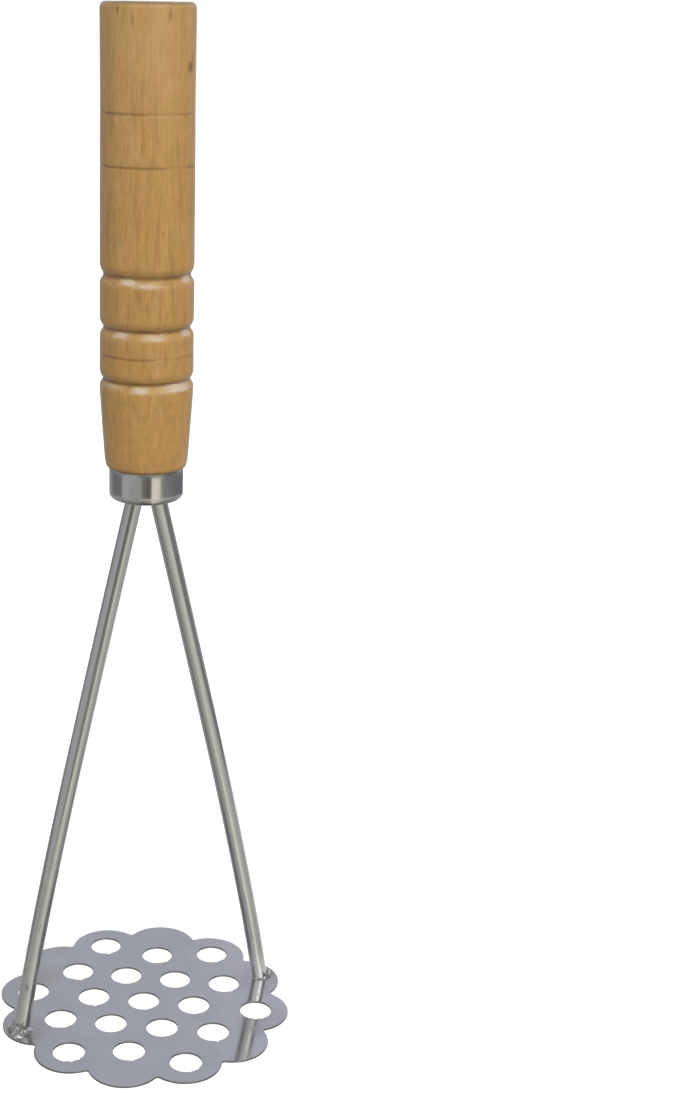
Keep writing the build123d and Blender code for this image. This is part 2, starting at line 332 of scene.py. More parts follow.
def wood_material():
    """Varnished close-grained hardwood: soft upright streaks of olive and orange tan, scorched lines, grooves with a
    dark bottom line of painted shade and patches of whitish wood on the lower flank."""
    m = Nodes("varnished_wood_finish")
    x, y, z = m.xyz()
    azimuth = m.math("MULTIPLY", m.math("ARCTAN2", y, x), 180.0 / math.pi)

    # growth rings round a pith that lies well outside the handle, leaning a little, and bent by slow noise
    sway = m.noise(m.scaled((0.06, 0.06, 0.016), (3.1, 0.7, 0.2)), detail=2.0)
    px = m.add_all(x, m.math("MULTIPLY", z, 0.045), 31.0)
    py = m.add_all(y, m.math("MULTIPLY", z, -0.028), 52.0)
    dist = m.math("SQRT", m.math("ADD", m.math("MULTIPLY", px, px), m.math("MULTIPLY", py, py)))
    dist = m.math("ADD", dist, m.math("MULTIPLY", sway, 7.0))
    ring = m.math("FRACT", m.math("MULTIPLY", dist, 0.27))
    late = m.ramp(ring, [(0.0, 0.15), (0.45, 0.25), (0.78, 0.62), (0.93, 1.0), (1.0, 0.15)])

    streak = m.noise(m.scaled((0.52, 0.52, 0.050), (0.0, 4.0, 0.0)), detail=4.0, rough=0.62, distortion=0.35)
    hue = m.noise(m.scaled((0.42, 0.42, 0.085), (1.0, 8.0, 2.0)), detail=4.0, rough=0.62, distortion=0.4)
    fine = m.noise(m.scaled((1.9, 1.9, 0.13), (9.0, 0.0, 0.0)), detail=3.0, rough=0.6, distortion=0.2)
    hair = m.noise(m.scaled((6.5, 6.5, 0.30), (2.0, 5.0, 0.0)), detail=2.0, rough=0.5)
    blotch = m.noise(m.scaled((0.16, 0.16, 0.070), (7.0, 1.0, 0.0)), detail=3.0, rough=0.6)

    olive, orange, pink, dark = OLIVE, ORANGE, PINK, DARK
    base = m.mix(m.remap(hue, 0.42, 0.58, smooth=True), olive, orange)
    base = m.mix(m.remap(blotch, 0.52, 0.66, 0.0, 0.46, smooth=True), base, pink)
    base = m.mix(m.remap(streak, 0.51, 0.68, 0.0, 0.66, smooth=True), base, dark)
    base = m.mix(m.math("MULTIPLY", late, 0.16), base, dark)
    grain = m.remap(fine, 0.30, 0.70, 0.90, 1.09)
    hairs = m.remap(hair, 0.30, 0.72, 0.965, 1.03)
    mottle = m.noise(m.scaled((0.95, 0.95, 0.62), (4.0, 2.0, 6.0)), detail=3.0, rough=0.65)
    shade = m.math("MULTIPLY", m.math("MULTIPLY", grain, hairs), m.remap(mottle, 0.32, 0.68, 0.930, 1.070))
    dapple = m.noise(m.scaled((0.62, 0.62, 0.30), (8.0, 3.0, 1.0)), detail=3.0, rough=0.6)
    low = m.remap(z, 214.0, 190.0, 0.0, 1.0, smooth=True)
    dapple = m.math("MULTIPLY", m.math("MULTIPLY", m.math("SUBTRACT", dapple, 0.5), 0.62), m.math("ADD", m.math("MULTIPLY", low, 0.75), 0.25))
    shade = m.math("MULTIPLY", shade, m.math("ADD", dapple, 1.0))
    base = m.mix(1.0, base, m.combine(shade, shade, shade), mode="MULTIPLY")

    # short dark pores, longer than wide, in loose groups
    pores = m.noise(m.scaled((2.4, 2.4, 0.42), (0.0, 0.0, 11.0)), detail=1.0, rough=0.4)
    group = m.noise(m.scaled((0.30, 0.30, 0.05), (5.0, 5.0, 0.0)), detail=1.0)
    pore = m.math("MULTIPLY", m.remap(pores, 0.655, 0.75, smooth=True), m.remap(group, 0.44, 0.62, smooth=True))
    base = m.mix(m.math("MULTIPLY", pore, 0.38), base, (0.210, 0.110, 0.036))

    # the part near the ferrule is more orange, the top a little paler
    base = m.mix(m.remap(z, 222.0, 172.0, 0.0, 0.30, smooth=True), base, LOWTONE)
    base = m.mix(m.remap(z, 250.0, 290.0, 0.0, 0.26, smooth=True), base, (0.52, 0.340, 0.155))

    # knot and brown marks
    wob = m.math("MULTIPLY", m.math("SUBTRACT", fine, 0.5), 0.9)
    for centre, radii, amount, colour in KNOTS:
        base = m.mix(m.math("MULTIPLY", m.spot(centre, radii, 0.15, wob), amount), base, colour)

    # burnt lines, dark on one side of the handle and nearly gone on the other
    for centre, parts, seed in zip(LINES, BURNT, (0.0, 5.0, 9.0)):
        uneven = m.noise(m.scaled((0.30, 0.30, 0.9), (seed, 3.0, 0.0)), detail=3.0)
        drift = m.math("MULTIPLY", m.math("SUBTRACT", uneven, 0.5), 0.5)
        around = None
        for mid, half, soft, amount in parts:
            piece = m.math("MULTIPLY", m.band(azimuth, mid, half, soft), amount)
            around = piece if around is None else m.math("MAXIMUM", around, piece)
        line = m.math("MULTIPLY", m.band(m.math("ADD", z, drift), centre, 0.10, 0.50), m.math("MAXIMUM", around, 0.20))
        line = m.math("MULTIPLY", line, m.remap(uneven, 0.30, 0.60, 0.55, 1.0))
        base = m.mix(line, base, (0.205, 0.112, 0.030))

    # V grooves: a dark line in the bottom that is painted shade under the groove's lip, browned upper flank, whitish
    # torn wood in patches on the lower flank
    uneven = m.noise(m.scaled((0.26, 0.26, 0.3), (1.0, 0.0, 2.0)), detail=3.0)
    scuff = m.noise(m.scaled((1.3, 1.3, 1.0), (2.0, 6.0, 0.0)), detail=3.0, rough=0.65)
    residue_total = None
    for centre, patches in zip(GROOVES, PATCHES):
        rise = m.math("SUBTRACT", z, centre)
        rise = m.math("ADD", rise, m.math("MULTIPLY", m.math("SUBTRACT", uneven, 0.5), 0.7))
        flank = m.math("MULTIPLY", m.remap(rise, 0.0, 0.5, smooth=True), m.remap(rise, 1.5, 3.2, 1.0, 0.0, smooth=True))
        base = m.mix(m.math("MULTIPLY", flank, 0.34), base, (0.250, 0.138, 0.040))
        # painted shade: the dark line just above each groove's bottom, where the upper lip shades it
        bottom = m.band(rise, 0.42, 0.20, 0.70)
        base = m.mix(m.math("MULTIPLY", bottom, m.remap(uneven, 0.32, 0.62, 0.95, 0.60)), base, (0.165, 0.085, 0.024))
        lower = m.math("MULTIPLY", m.remap(rise, -2.9, -2.2, smooth=True), m.remap(rise, -0.9, -0.3, 1.0, 0.0, smooth=True))
        base = m.mix(m.math("MULTIPLY", lower, 0.16), base, (0.56, 0.375, 0.185))
        wander = m.math("MULTIPLY", m.math("SUBTRACT", scuff, 0.5), 10.0)
        place = m.math("ADD", azimuth, wander)
        residue = None
        for mid, half, z_low, z_high, amount in patches:
            piece = m.math("MULTIPLY", m.band(place, mid, half * 0.15, half * 1.1), amount)
            height = m.math("ADD", rise, m.math("MULTIPLY", m.math("SUBTRACT", scuff, 0.5), 1.6))
            piece = m.math("MULTIPLY", piece, m.band(height, (z_low + z_high) / 2, (z_high - z_low) / 2 - 0.45, 0.85))
            residue = piece if residue is None else m.math("MAXIMUM", residue, piece)
        base = m.mix(m.math("MULTIPLY", residue, 0.9), base, (0.640, 0.520, 0.400))
        residue_total = residue if residue_total is None else m.math("MAXIMUM", residue_total, residue)

    # dirt where the wood meets the ferrule's rim, and raw inner wood of the tenon and bore
    base = m.mix(m.remap(z, HANDLE_Z0 + 1.5, HANDLE_Z0 + 0.15, 0.0, 0.80, smooth=True), base, (0.150, 0.082, 0.028))
    radius = m.math("SQRT", m.math("ADD", m.math("MULTIPLY", x, x), m.math("MULTIPLY", y, y)))
    inside = m.math("MULTIPLY", m.remap(radius, 9.95, 9.80), m.remap(z, HANDLE_Z1 - 1.0, HANDLE_Z1 - 2.0))
    base = m.mix(inside, base, (0.52, 0.36, 0.19))

    # end grain on the top: rings and darker pores, and a greyer, darker band round the rounded rim
    top = m.remap(z, HANDLE_Z1 - 0.5, HANDLE_Z1 - 0.05, smooth=True)
    end = m.mix(late, (0.44, 0.27, 0.105), (0.27, 0.135, 0.045))
    speck = m.noise(m.scaled((4.5, 4.5, 4.5)), detail=2.0)
    end = m.mix(m.remap(speck, 0.55, 0.70, 0.0, 0.5), end, (0.17, 0.085, 0.030))
    base = m.mix(m.math("MULTIPLY", top, 0.9), base, end)
    rim = m.math("MULTIPLY", m.remap(z, HANDLE_Z1 - 0.95, HANDLE_Z1 - 0.35, smooth=True), m.remap(radius, 10.6, 11.2))
    base = m.mix(m.math("MULTIPLY", rim, 0.60), base, (0.185, 0.150, 0.105))

    rough = m.add_all(m.remap(fine, 0.3, 0.7, 0.42, 0.54), m.math("MULTIPLY", residue_total, 0.12),
                      m.math("MULTIPLY", top, 0.18))
    height = m.add_all(m.math("MULTIPLY", fine, 0.50), m.math("MULTIPLY", hair, 0.20), m.math("MULTIPLY", streak, 0.6),
                       m.math("MULTIPLY", pore, -1.0))
    turning = m.noise(m.scaled((0.02, 0.02, 2.6)), detail=2.0)
    height = m.math("ADD", height, m.math("MULTIPLY", turning, 0.22))
    normal = m.bump(height, 0.035, 0.8)
    m.principled(Base_Color=base, Roughness=rough, Normal=normal, Specular_IOR_Level=0.45, Coat_Weight=0.35,
                 Coat_Roughness=0.24, Coat_IOR=1.5, Sheen_Weight=0.22, Sheen_Roughness=0.35)
    return m.material


def leg_material():
    """Drawn round bar, polished lengthwise, with faint draw lines, dull staining, a few dark smudges low down and a
    painted highlight just above the right leg's weld.
    """
    m = Nodes("leg_steel_finish")
    x, y, z = m.xyz()
    # the legs stand nearly upright, so lines along Z follow them once their splay is taken out
    side = m.math("SIGN", x)
    along = m.math("MULTIPLY", m.math("SUBTRACT", z, 162.4), 0.2300)
    xs = m.math("ADD", x, m.math("MULTIPLY", side, along))
    flat = m.combine(m.math("MULTIPLY", xs, 2.2), m.math("MULTIPLY", y, 2.2), m.math("MULTIPLY", z, 0.018))
    draw = m.noise(flat, scale=1.0, detail=3.0, rough=0.6)
    fine = m.noise(m.combine(m.math("MULTIPLY", xs, 7.0), m.math("MULTIPLY", y, 7.0), m.math("MULTIPLY", z, 0.07)), detail=2.0)
    cloud = m.noise(m.scaled((0.35, 0.35, 0.05), (3.0, 1.0, 0.0)), detail=2.5)
    blot = m.noise(m.scaled((1.1, 1.1, 0.42), (0.0, 2.0, 5.0)), detail=3.0, rough=0.65)
    low = m.remap(z, 120.0, 15.0, 0.0, 1.0, smooth=True)
    stain = m.math("MULTIPLY", m.remap(blot, 0.63, 0.74, smooth=True), m.math("ADD", m.math("MULTIPLY", low, 0.75), 0.20))
    base = m.mix(m.remap(draw, 0.30, 0.70), (0.600, 0.600, 0.590), (0.700, 0.700, 0.692))
    base = m.mix(m.remap(cloud, 0.40, 0.65, 0.0, 0.5, smooth=True), base, (0.605, 0.608, 0.590))
    for centre, radii, amount in LEG_MARKS:
        mark = m.math("MULTIPLY", m.spot(centre, radii, 0.2, m.math("MULTIPLY", m.math("SUBTRACT", blot, 0.5), 1.4)), amount)
        stain = m.math("MAXIMUM", stain, mark)
    base = m.mix(m.math("MULTIPLY", stain, 0.75), base, (0.170, 0.160, 0.140))
    # painted highlight: the right leg is painted nearly white just above its weld
    foot_highlight_paint = m.math("MULTIPLY", m.remap(z, 13.0, 3.0, 0.0, 0.95, smooth=True), m.remap(x, 0.0, 1.0))
    base = m.mix(foot_highlight_paint, base, (0.960, 0.958, 0.950))
    rough = m.add_all(m.remap(draw, 0.3, 0.7, 0.10, 0.17), m.math("MULTIPLY", stain, 0.25))
    height = m.add_all(m.math("MULTIPLY", draw, 1.0), m.math("MULTIPLY", fine, 0.35), m.math("MULTIPLY", stain, -0.4))
    m.principled(Base_Color=base, Metallic=1.0, Roughness=rough, Normal=m.bump(height, 0.012, 0.7))
    return m.material


def plate_material():
    """Mirror-polished sheet with a faint polishing haze, light scratches and one brownish heat tint, and painted light
    and shade: a brighter right side, a darker left side, dark edge walls and a darker patch in front of the right foot.
    """
    m = Nodes("plate_steel_finish")
    x, y, z = m.xyz()
    haze = m.noise(m.scaled((0.09, 0.09, 0.09), (2.0, 0.0, 0.0)), detail=2.5)
    grit = m.noise(m.scaled((6.0, 6.0, 6.0)), detail=2.0, rough=0.6)
    turned = m.vmath("MULTIPLY", m.mm, (1, 1, 1))
    sx = m.math("ADD", m.math("MULTIPLY", x, 0.82), m.math("MULTIPLY", y, 0.57))
    sy = m.math("SUBTRACT", m.math("MULTIPLY", y, 0.82), m.math("MULTIPLY", x, 0.57))
    scratch = m.noise(m.combine(m.math("MULTIPLY", sx, 0.10), m.math("MULTIPLY", sy, 5.5), 0.0), detail=2.0, rough=0.55)
    base = m.mix(m.remap(haze, 0.38, 0.65, smooth=True), (0.675, 0.682, 0.698), (0.712, 0.712, 0.722))
    # painted light and shade: the sheet's right side is painted a little brighter, its left side darker
    across = m.add_all(m.math("MULTIPLY", x, 0.92), m.math("MULTIPLY", y, -0.20), m.math("MULTIPLY", m.math("SUBTRACT", haze, 0.5), 30.0))
    base = m.mix(m.remap(across, 8.0, 38.0, 0.0, 0.8, smooth=True), base, (0.790, 0.785, 0.790))
    base = m.mix(m.remap(across, -16.0, -40.0, 0.0, 0.7, smooth=True), base, (0.610, 0.610, 0.600))
    tint = m.spot(PLATE_TINT[0], PLATE_TINT[1], 0.1, m.math("MULTIPLY", m.math("SUBTRACT", haze, 0.5), 0.8))
    base = m.mix(m.math("MULTIPLY", tint, 0.55), base, (0.560, 0.530, 0.480))
    for sign in (-1.0, 1.0):
        heat = m.spot((sign * 39.2, 0.0, PLATE_T), (9.5, 9.5, 9.5), 0.45, m.math("MULTIPLY", m.math("SUBTRACT", haze, 0.5), 0.9))
        base = m.mix(m.math("MULTIPLY", heat, 0.30), base, (0.470, 0.440, 0.400))
    dull = m.spot((-39.2, -3.4, PLATE_T), (6.6, 6.2, 6.0), 0.5, m.math("MULTIPLY", m.math("SUBTRACT", haze, 0.5), 0.9))
    # painted shade: the sheet is painted darker, and made a little rougher, in front of the right foot, where the leg's
    # mirror image falls
    painted_dim_patch = m.spot((30.0, -23.5, PLATE_T), (9.5, 9.0, 6.0), 0.45, m.math("MULTIPLY", m.math("SUBTRACT", haze, 0.5), 0.9))
    nearer = m.spot((36.3, -8.2, PLATE_T), (4.6, 4.8, 4.0), 0.5, m.math("MULTIPLY", m.math("SUBTRACT", haze, 0.5), 0.9))
    painted_dim_patch = m.math("MAXIMUM", painted_dim_patch, m.math("MULTIPLY", nearer, 0.75))
    cloudy = m.noise(m.scaled((0.55, 0.55, 0.55), (1.0, 3.0, 0.0)), detail=3.0, rough=0.6)
    painted_dim_patch = m.math("MULTIPLY", painted_dim_patch, m.remap(cloudy, 0.35, 0.62, 0.5, 1.0, smooth=True))
    base = m.mix(m.math("MULTIPLY", painted_dim_patch, 0.34), base, (0.500, 0.500, 0.490))
    # painted shade: the walls of the punched edges are painted dark, a shaded line along every edge, and they are
    # rougher as a sheared edge
    wall = m.math("MULTIPLY", m.remap(z, PLATE_T - 0.03, PLATE_T - 0.10, smooth=True), m.remap(z, 0.0, 0.05))
    base = m.mix(m.math("MULTIPLY", wall, 0.85), base, (0.190, 0.190, 0.195))
    rough = m.add_all(m.remap(haze, 0.35, 0.65, 0.070, 0.105), m.remap(scratch, 0.60, 0.75, 0.0, 0.05), m.math("MULTIPLY", wall, 0.25),
                      m.math("MULTIPLY", dull, 0.20), m.math("MULTIPLY", painted_dim_patch, 0.10))
    height = m.add_all(m.math("MULTIPLY", grit, 0.35), m.math("MULTIPLY", scratch, 0.8))
    m.principled(Base_Color=base, Metallic=1.0, Roughness=rough, Normal=m.bump(height, 0.0035, 0.5))
    return m.material


def ferrule_material():
    """Bright drawn cup with upright draw marks, a little dirt under the wood's edge, and painted reflection and shade
    on its bottom corner.
    """
    m = Nodes("ferrule_metal_finish")
    x, y, z = m.xyz()
    draw = m.noise(m.scaled((1.5, 1.5, 0.05), (4.0, 0.0, 0.0)), detail=3.0, rough=0.6)
    cloud = m.noise(m.scaled((0.35, 0.35, 0.35)), detail=2.5)
    base = m.mix(m.remap(draw, 0.32, 0.68), (0.635, 0.632, 0.628), (0.690, 0.687, 0.682))
    dirt = m.math("MULTIPLY", m.remap(z, HANDLE_Z0 - 1.4, HANDLE_Z0 - 0.1, 0.0, 1.0, smooth=True), m.remap(cloud, 0.35, 0.65, 0.35, 0.85))
    base = m.mix(m.math("MULTIPLY", dirt, 0.55), base, (0.260, 0.200, 0.150))
    # painted reflection and shade: the drawn corner at the bottom is painted darker, with the dark band and bright
    # streak of the reflections above carried down it round the cup
    azimuth = m.math("MULTIPLY", m.math("ARCTAN2", y, x), 180.0 / math.pi)
    azimuth = m.math("ADD", azimuth, m.math("MULTIPLY", m.math("SUBTRACT", cloud, 0.5), 5.0))
    corner_reflection_paint = m.ramp(m.remap(azimuth, -180.0, 180.0), [((d + 180.0) / 360.0, c) for d, c in (
        (-180, 0.56), (-140, 0.56), (-128, 0.50), (-121, 0.46), (-118, (0.300, 0.270, 0.262)), (-104, (0.280, 0.250, 0.242)),
        (-101, (0.63, 0.61, 0.57)), (-90, (0.61, 0.59, 0.56)), (-86, 0.48), (-66, 0.46), (-60, 0.42), (-20, 0.42), (10, 0.48), (70, 0.50), (180, 0.56))])
    corner = m.remap(z, FERRULE_Z0 + 1.95, FERRULE_Z0 + 1.50, smooth=True)
    base = m.mix(m.math("MULTIPLY", corner, 0.90), base, corner_reflection_paint)
    rough = m.add_all(m.remap(draw, 0.3, 0.7, 0.07, 0.11), m.math("MULTIPLY", dirt, 0.15), m.math("MULTIPLY", corner, 0.08))
    height = m.add_all(draw, m.math("MULTIPLY", cloud, 0.6))
    m.principled(Base_Color=base, Metallic=1.0, Roughness=rough, Normal=m.bump(height, 0.012, 0.6))
    return m.material


def weld_material():
    """Weld bead, half polished: bright and smooth on the swellings, scorched dark in the pits and along the toe, with
    one painted shadow at the left weld's front toe.
    """
    m = Nodes("weld_steel_finish")
    x, y, z = m.xyz()
    lump = m.noise(m.scaled((0.60, 0.60, 0.60), (1.0, 0.0, 0.0)), detail=2.5, rough=0.50)
    pit = m.voronoi(m.scaled((0.62, 0.62, 0.62), (0.3, 0.1, 0.4)), scale=1.0)
    pits = m.remap(pit, 0.07, 0.16, 1.0, 0.0, smooth=True)
    base = m.mix(m.remap(lump, 0.38, 0.60), (0.540, 0.532, 0.510), (0.900, 0.896, 0.875))
    burnt_and_shade = pits
    # burnt places and the one painted shadow are darkened together
    for centre, radii, amount in WELD_BURNS_AND_SHADE:
        burnt_and_shade = m.math("MAXIMUM", burnt_and_shade, m.math("MULTIPLY", m.spot(centre, radii, 0.35, m.math("MULTIPLY", m.math("SUBTRACT", lump, 0.5), 0.9)), amount))
    toe = m.math("MULTIPLY", m.remap(z, PLATE_T + 0.30, PLATE_T + 0.02, 0.0, 0.55, smooth=True), m.remap(lump, 0.35, 0.60, 1.0, 0.3))
    burnt_and_shade = m.math("MAXIMUM", burnt_and_shade, toe)
    base = m.mix(m.math("MULTIPLY", burnt_and_shade, 0.85), base, (0.085, 0.078, 0.066))
    rough = m.add_all(m.remap(lump, 0.3, 0.7, 0.26, 0.15), m.math("MULTIPLY", burnt_and_shade, 0.30))
    height = m.add_all(m.math("MULTIPLY", lump, 0.7), m.math("MULTIPLY", pits, -0.6))
    m.principled(Base_Color=base, Metallic=1.0, Roughness=rough, Normal=m.bump(height, 0.07, 0.6))
    return m.material


def brad_material():
    m = Nodes("brad_steel_finish")
    n = m.noise(m.scaled((2.4, 2.4, 2.4)), detail=3.0)
    base = m.mix(m.remap(n, 0.35, 0.65), (0.520, 0.500, 0.475), (0.660, 0.645, 0.620))
    m.principled(Base_Color=base, Metallic=1.0, Roughness=m.remap(n, 0.3, 0.7, 0.22, 0.34), Normal=m.bump(n, 0.02, 0.5))
    return m.material


def resin_material():
    """Cured resin: pale amber, slightly cloudy, with small bubbles."""
    m = Nodes("tang_resin_finish")
    n = m.noise(m.scaled((0.6, 0.6, 0.3)), detail=3.0)
    bubble = m.remap(m.voronoi(m.scaled((1.4, 1.4, 1.4))), 0.08, 0.20, 1.0, 0.0, smooth=True)
    base = m.mix(m.remap(n, 0.35, 0.65), (0.560, 0.430, 0.215), (0.690, 0.590, 0.370))
    height = m.math("SUBTRACT", m.math("MULTIPLY", n, 0.5), bubble)
    m.principled(Base_Color=base, Roughness=m.remap(n, 0.3, 0.7, 0.38, 0.55), Normal=m.bump(height, 0.06, 0.6))
    return m.material


# the wood's colours
OLIVE, ORANGE, PINK = (0.455, 0.270, 0.076), (0.484, 0.260, 0.076), (0.535, 0.308, 0.128)
DARK, LOWTONE = (0.338, 0.182, 0.048), (0.472, 0.248, 0.054)
# marks on the wood: place (mm), half sizes, strength and colour
KNOTS = [
    ((8.2, -9.5, 279.1), (1.75, 1.75, 2.3), 0.92, (0.200, 0.078, 0.022)),
    ((8.9, -8.9, 281.2), (1.1, 1.1, 3.2), 0.60, (0.270, 0.125, 0.040)),
    ((7.1, -10.3, 278.3), (1.3, 1.3, 1.8), 0.45, (0.330, 0.170, 0.062)),
    ((6.25, -10.9, 257.2), (1.2, 1.2, 4.4), 0.50, (0.430, 0.160, 0.085)),
    ((-10.8, -6.4, 293.0), (0.55, 0.55, 1.5), 0.80, (0.165, 0.075, 0.025)),
    ((1.3, -12.5, 291.8), (0.75, 0.75, 2.6), 0.65, (0.270, 0.120, 0.045)),
    ((-8.0, -9.7, 290.8), (0.6, 0.6, 3.0), 0.50, (0.250, 0.150, 0.050)),
    ((5.8, -11.2, 287.5), (0.35, 0.35, 3.2), 0.45, (0.255, 0.150, 0.050)),
    ((-11.35, -5.6, 241.3), (0.35, 0.35, 2.6), 0.60, (0.190, 0.105, 0.036)),
    ((-0.4, -12.7, 237.0), (0.35, 0.35, 1.0), 0.60, (0.200, 0.110, 0.038)),
    ((0.0, -12.3, 224.3), (0.7, 0.7, 0.6), 0.75, (0.240, 0.120, 0.045)),
    ((-4.4, -12.0, 217.0), (0.40, 0.40, 3.5), 0.45, (0.230, 0.125, 0.040)),
    ((-1.8, -12.7, 200.4), (0.7, 0.7, 3.4), 0.30, (0.560, 0.300, 0.140)),
    ((4.0, 12.0, 262.0), (1.0, 1.0, 2.4), 0.60, (0.230, 0.110, 0.045)),
    ((11.6, 4.6, 232.0), (0.5, 0.5, 3.6), 0.50, (0.220, 0.120, 0.040)),
]
# burnt lines: middle and half width of a darker stretch in degrees round the handle, soft edge, strength
BURNT = [
    [(-156.0, 26.0, 40.0, 0.80), (-58.0, 12.0, 26.0, 0.48), (60.0, 40.0, 40.0, 0.7)],
    [(-132.0, 34.0, 26.0, 0.85), (-40.0, 12.0, 16.0, 0.80), (100.0, 50.0, 40.0, 0.5)],
    [(-142.0, 30.0, 18.0, 0.80), (-44.0, 14.0, 26.0, 0.40), (40.0, 40.0, 40.0, 0.7)],
]
# whitish patches in the grooves: middle and half width in degrees, lowest and highest point from the bottom, strength
PATCHES = [
    [(-135.0, 15.0, -1.5, 0.0, 1.0), (-112.0, 20.0, -2.2, -0.9, 0.65), (-50.0, 13.0, -1.2, 0.5, 0.90), (30.0, 20.0, -1.7, -0.1, 0.8),
     (110.0, 14.0, -1.7, -0.3, 0.7)],
    [(-146.0, 14.0, -1.4, 0.0, 0.95), (-101.0, 18.0, -1.8, -0.3, 0.80), (-51.0, 14.0, -1.5, 0.2, 0.85), (8.0, 12.0, -1.7, -0.1, 0.6),
     (80.0, 24.0, -1.8, -0.2, 0.8)],
    [(-161.0, 22.0, -1.2, -0.2, 0.60), (-119.5, 13.0, -1.9, -0.3, 0.95), (-66.0, 29.0, -1.8, 0.3, 1.0), (45.0, 18.0, -1.7, -0.1, 0.7),
     (140.0, 16.0, -1.7, -0.1, 0.8)],
]
# smudges low on the legs: place, half sizes (mm) and strength
LEG_MARKS = [
    ((-37.6, -2.3, 31.0), (1.0, 1.0, 2.6), 0.55),
    ((-38.0, -2.3, 15.0), (1.1, 1.1, 1.8), 0.60),
    ((-40.6, -1.4, 9.0), (0.9, 0.9, 3.4), 0.45),
    ((-39.6, -2.3, 22.0), (0.5, 0.5, 3.0), 0.35),
    ((37.4, -1.6, 8.0), (0.7, 0.7, 3.0), 0.35),
]
# burnt places on the two welds, and one painted shadow: place, half sizes (mm) and strength
WELD_BURNS_AND_SHADE = [
    ((-42.4, -0.4, 1.6), (1.0, 1.2, 1.3), 1.0),
    ((-43.4, -1.9, 0.9), (0.9, 1.1, 0.8), 0.75),
    ((-41.6, -3.1, 1.1), (0.60, 0.55, 0.8), 0.85),
    # painted shadow: the dark curve along the front right of the left weld's toe
    ((-37.6, -3.9, 0.8), (1.5, 0.7, 0.6), 0.80),
    ((-35.9, -1.5, 0.7), (1.1, 1.3, 0.9), 0.50),
    ((42.4, -0.8, 1.8), (0.62, 0.66, 1.0), 1.0),
]
PLATE_TINT = ((-26.0, 24.0, 0.6), (10.0, 8.0, 4.0))

wood = wood_material()
leg_steel = leg_material()
plate_steel = plate_material()
ferrule_metal = ferrule_material()
weld_steel = weld_material()
brad_steel = brad_material()
tang_resin = resin_material()

# =================================================================================================================
# wooden handle
# =================================================================================================================
SEG = 256
STRETCHES = [
    ([(171.6, 10.62), (171.78, 10.93), (172.12, 11.16), (172.65, 11.29), (173.36, 11.44)], 0.12),
    ([(173.36, 11.44), (174.49, 11.56), (179.1, 11.89), (184.75, 12.28), (190.48, 12.65), (193.25, 12.82), (194.6, 12.84)], 0.9),
    ([(194.6, 12.84), (194.93, 12.80), (195.22, 12.66), (195.77, 12.32), (196.26, 12.03), (196.5, 11.95), (196.76, 11.99), (197.2, 12.18), (197.7, 12.50), (198.29, 12.70), (198.79, 12.79), (199.4, 12.84)], 0.13),
    ([(199.4, 12.84), (202.1, 12.82), (203.5, 12.81)], 0.5),
    ([(203.5, 12.81), (203.65, 12.77), (203.8, 12.75), (203.95, 12.77), (204.1, 12.80)], 0.08),
    ([(204.1, 12.80), (206.9, 12.78), (208.6, 12.77)], 0.7),
    ([(208.6, 12.77), (208.98, 12.71), (209.37, 12.56), (209.92, 12.19), (210.46, 11.89), (210.75, 11.82), (211.05, 11.88), (211.55, 12.13), (212.14, 12.43), (212.64, 12.65), (213.23, 12.75), (213.8, 12.78)], 0.13),
    ([(213.8, 12.78), (218.1, 12.78), (222.7, 12.75)], 0.7),
    ([(222.7, 12.75), (223.12, 12.70), (223.51, 12.57), (224.11, 12.14), (224.65, 11.87), (225.0, 11.81), (225.29, 11.84), (225.69, 11.95), (226.23, 12.26), (226.78, 12.50), (227.47, 12.68), (228.3, 12.74)], 0.13),
    ([(228.3, 12.74), (234.1, 12.69), (245.0, 12.65), (253.6, 12.59)], 1.0),
    ([(253.6, 12.59), (253.75, 12.55), (253.9, 12.53), (254.05, 12.545), (254.2, 12.58)], 0.08),
    ([(254.2, 12.58), (260.4, 12.56), (267.1, 12.52)], 1.0),
    ([(267.1, 12.52), (267.25, 12.48), (267.4, 12.46), (267.55, 12.48), (267.7, 12.51)], 0.08),
    ([(267.7, 12.51), (273.1, 12.50), (280.5, 12.52), (287.0, 12.55), (292.9, 12.56)], 1.0),
    ([(292.9, 12.56), (293.8, 12.50), (294.4, 12.24), (294.8, 11.80), (295.0, 11.2)], 0.12),
]
outer = []
for points, step in STRETCHES:
    sampled = hermite(points, step)
    outer += sampled if not outer else sampled[1:]
rows = [(0.0, 222.9), (2.6, 221.35), (5.3, 219.8), (5.3, 203.0), (5.3, 186.0), (5.3, 170.0), (5.85, 166.7), (6.4, 163.4),
        (6.6, 163.4), (8.7, 163.4), (8.9, 163.4), (9.78, 164.28), (9.8, 164.4), (9.8, 166.2), (9.8, 168.8), (9.8, 171.4), (9.8, 171.6),
        (10.0, 171.6), (10.5, 171.6)]
hidden_rows = len(rows)
rows += [(r, z) for z, r in outer]
rows += [(r, HANDLE_Z1) for r in (10.6, 9.6, 8.0, 6.0, 4.0, 2.0, 0.0)]
verts, faces, start = lathe(rows, SEG)
verts = [list(v) for v in verts]
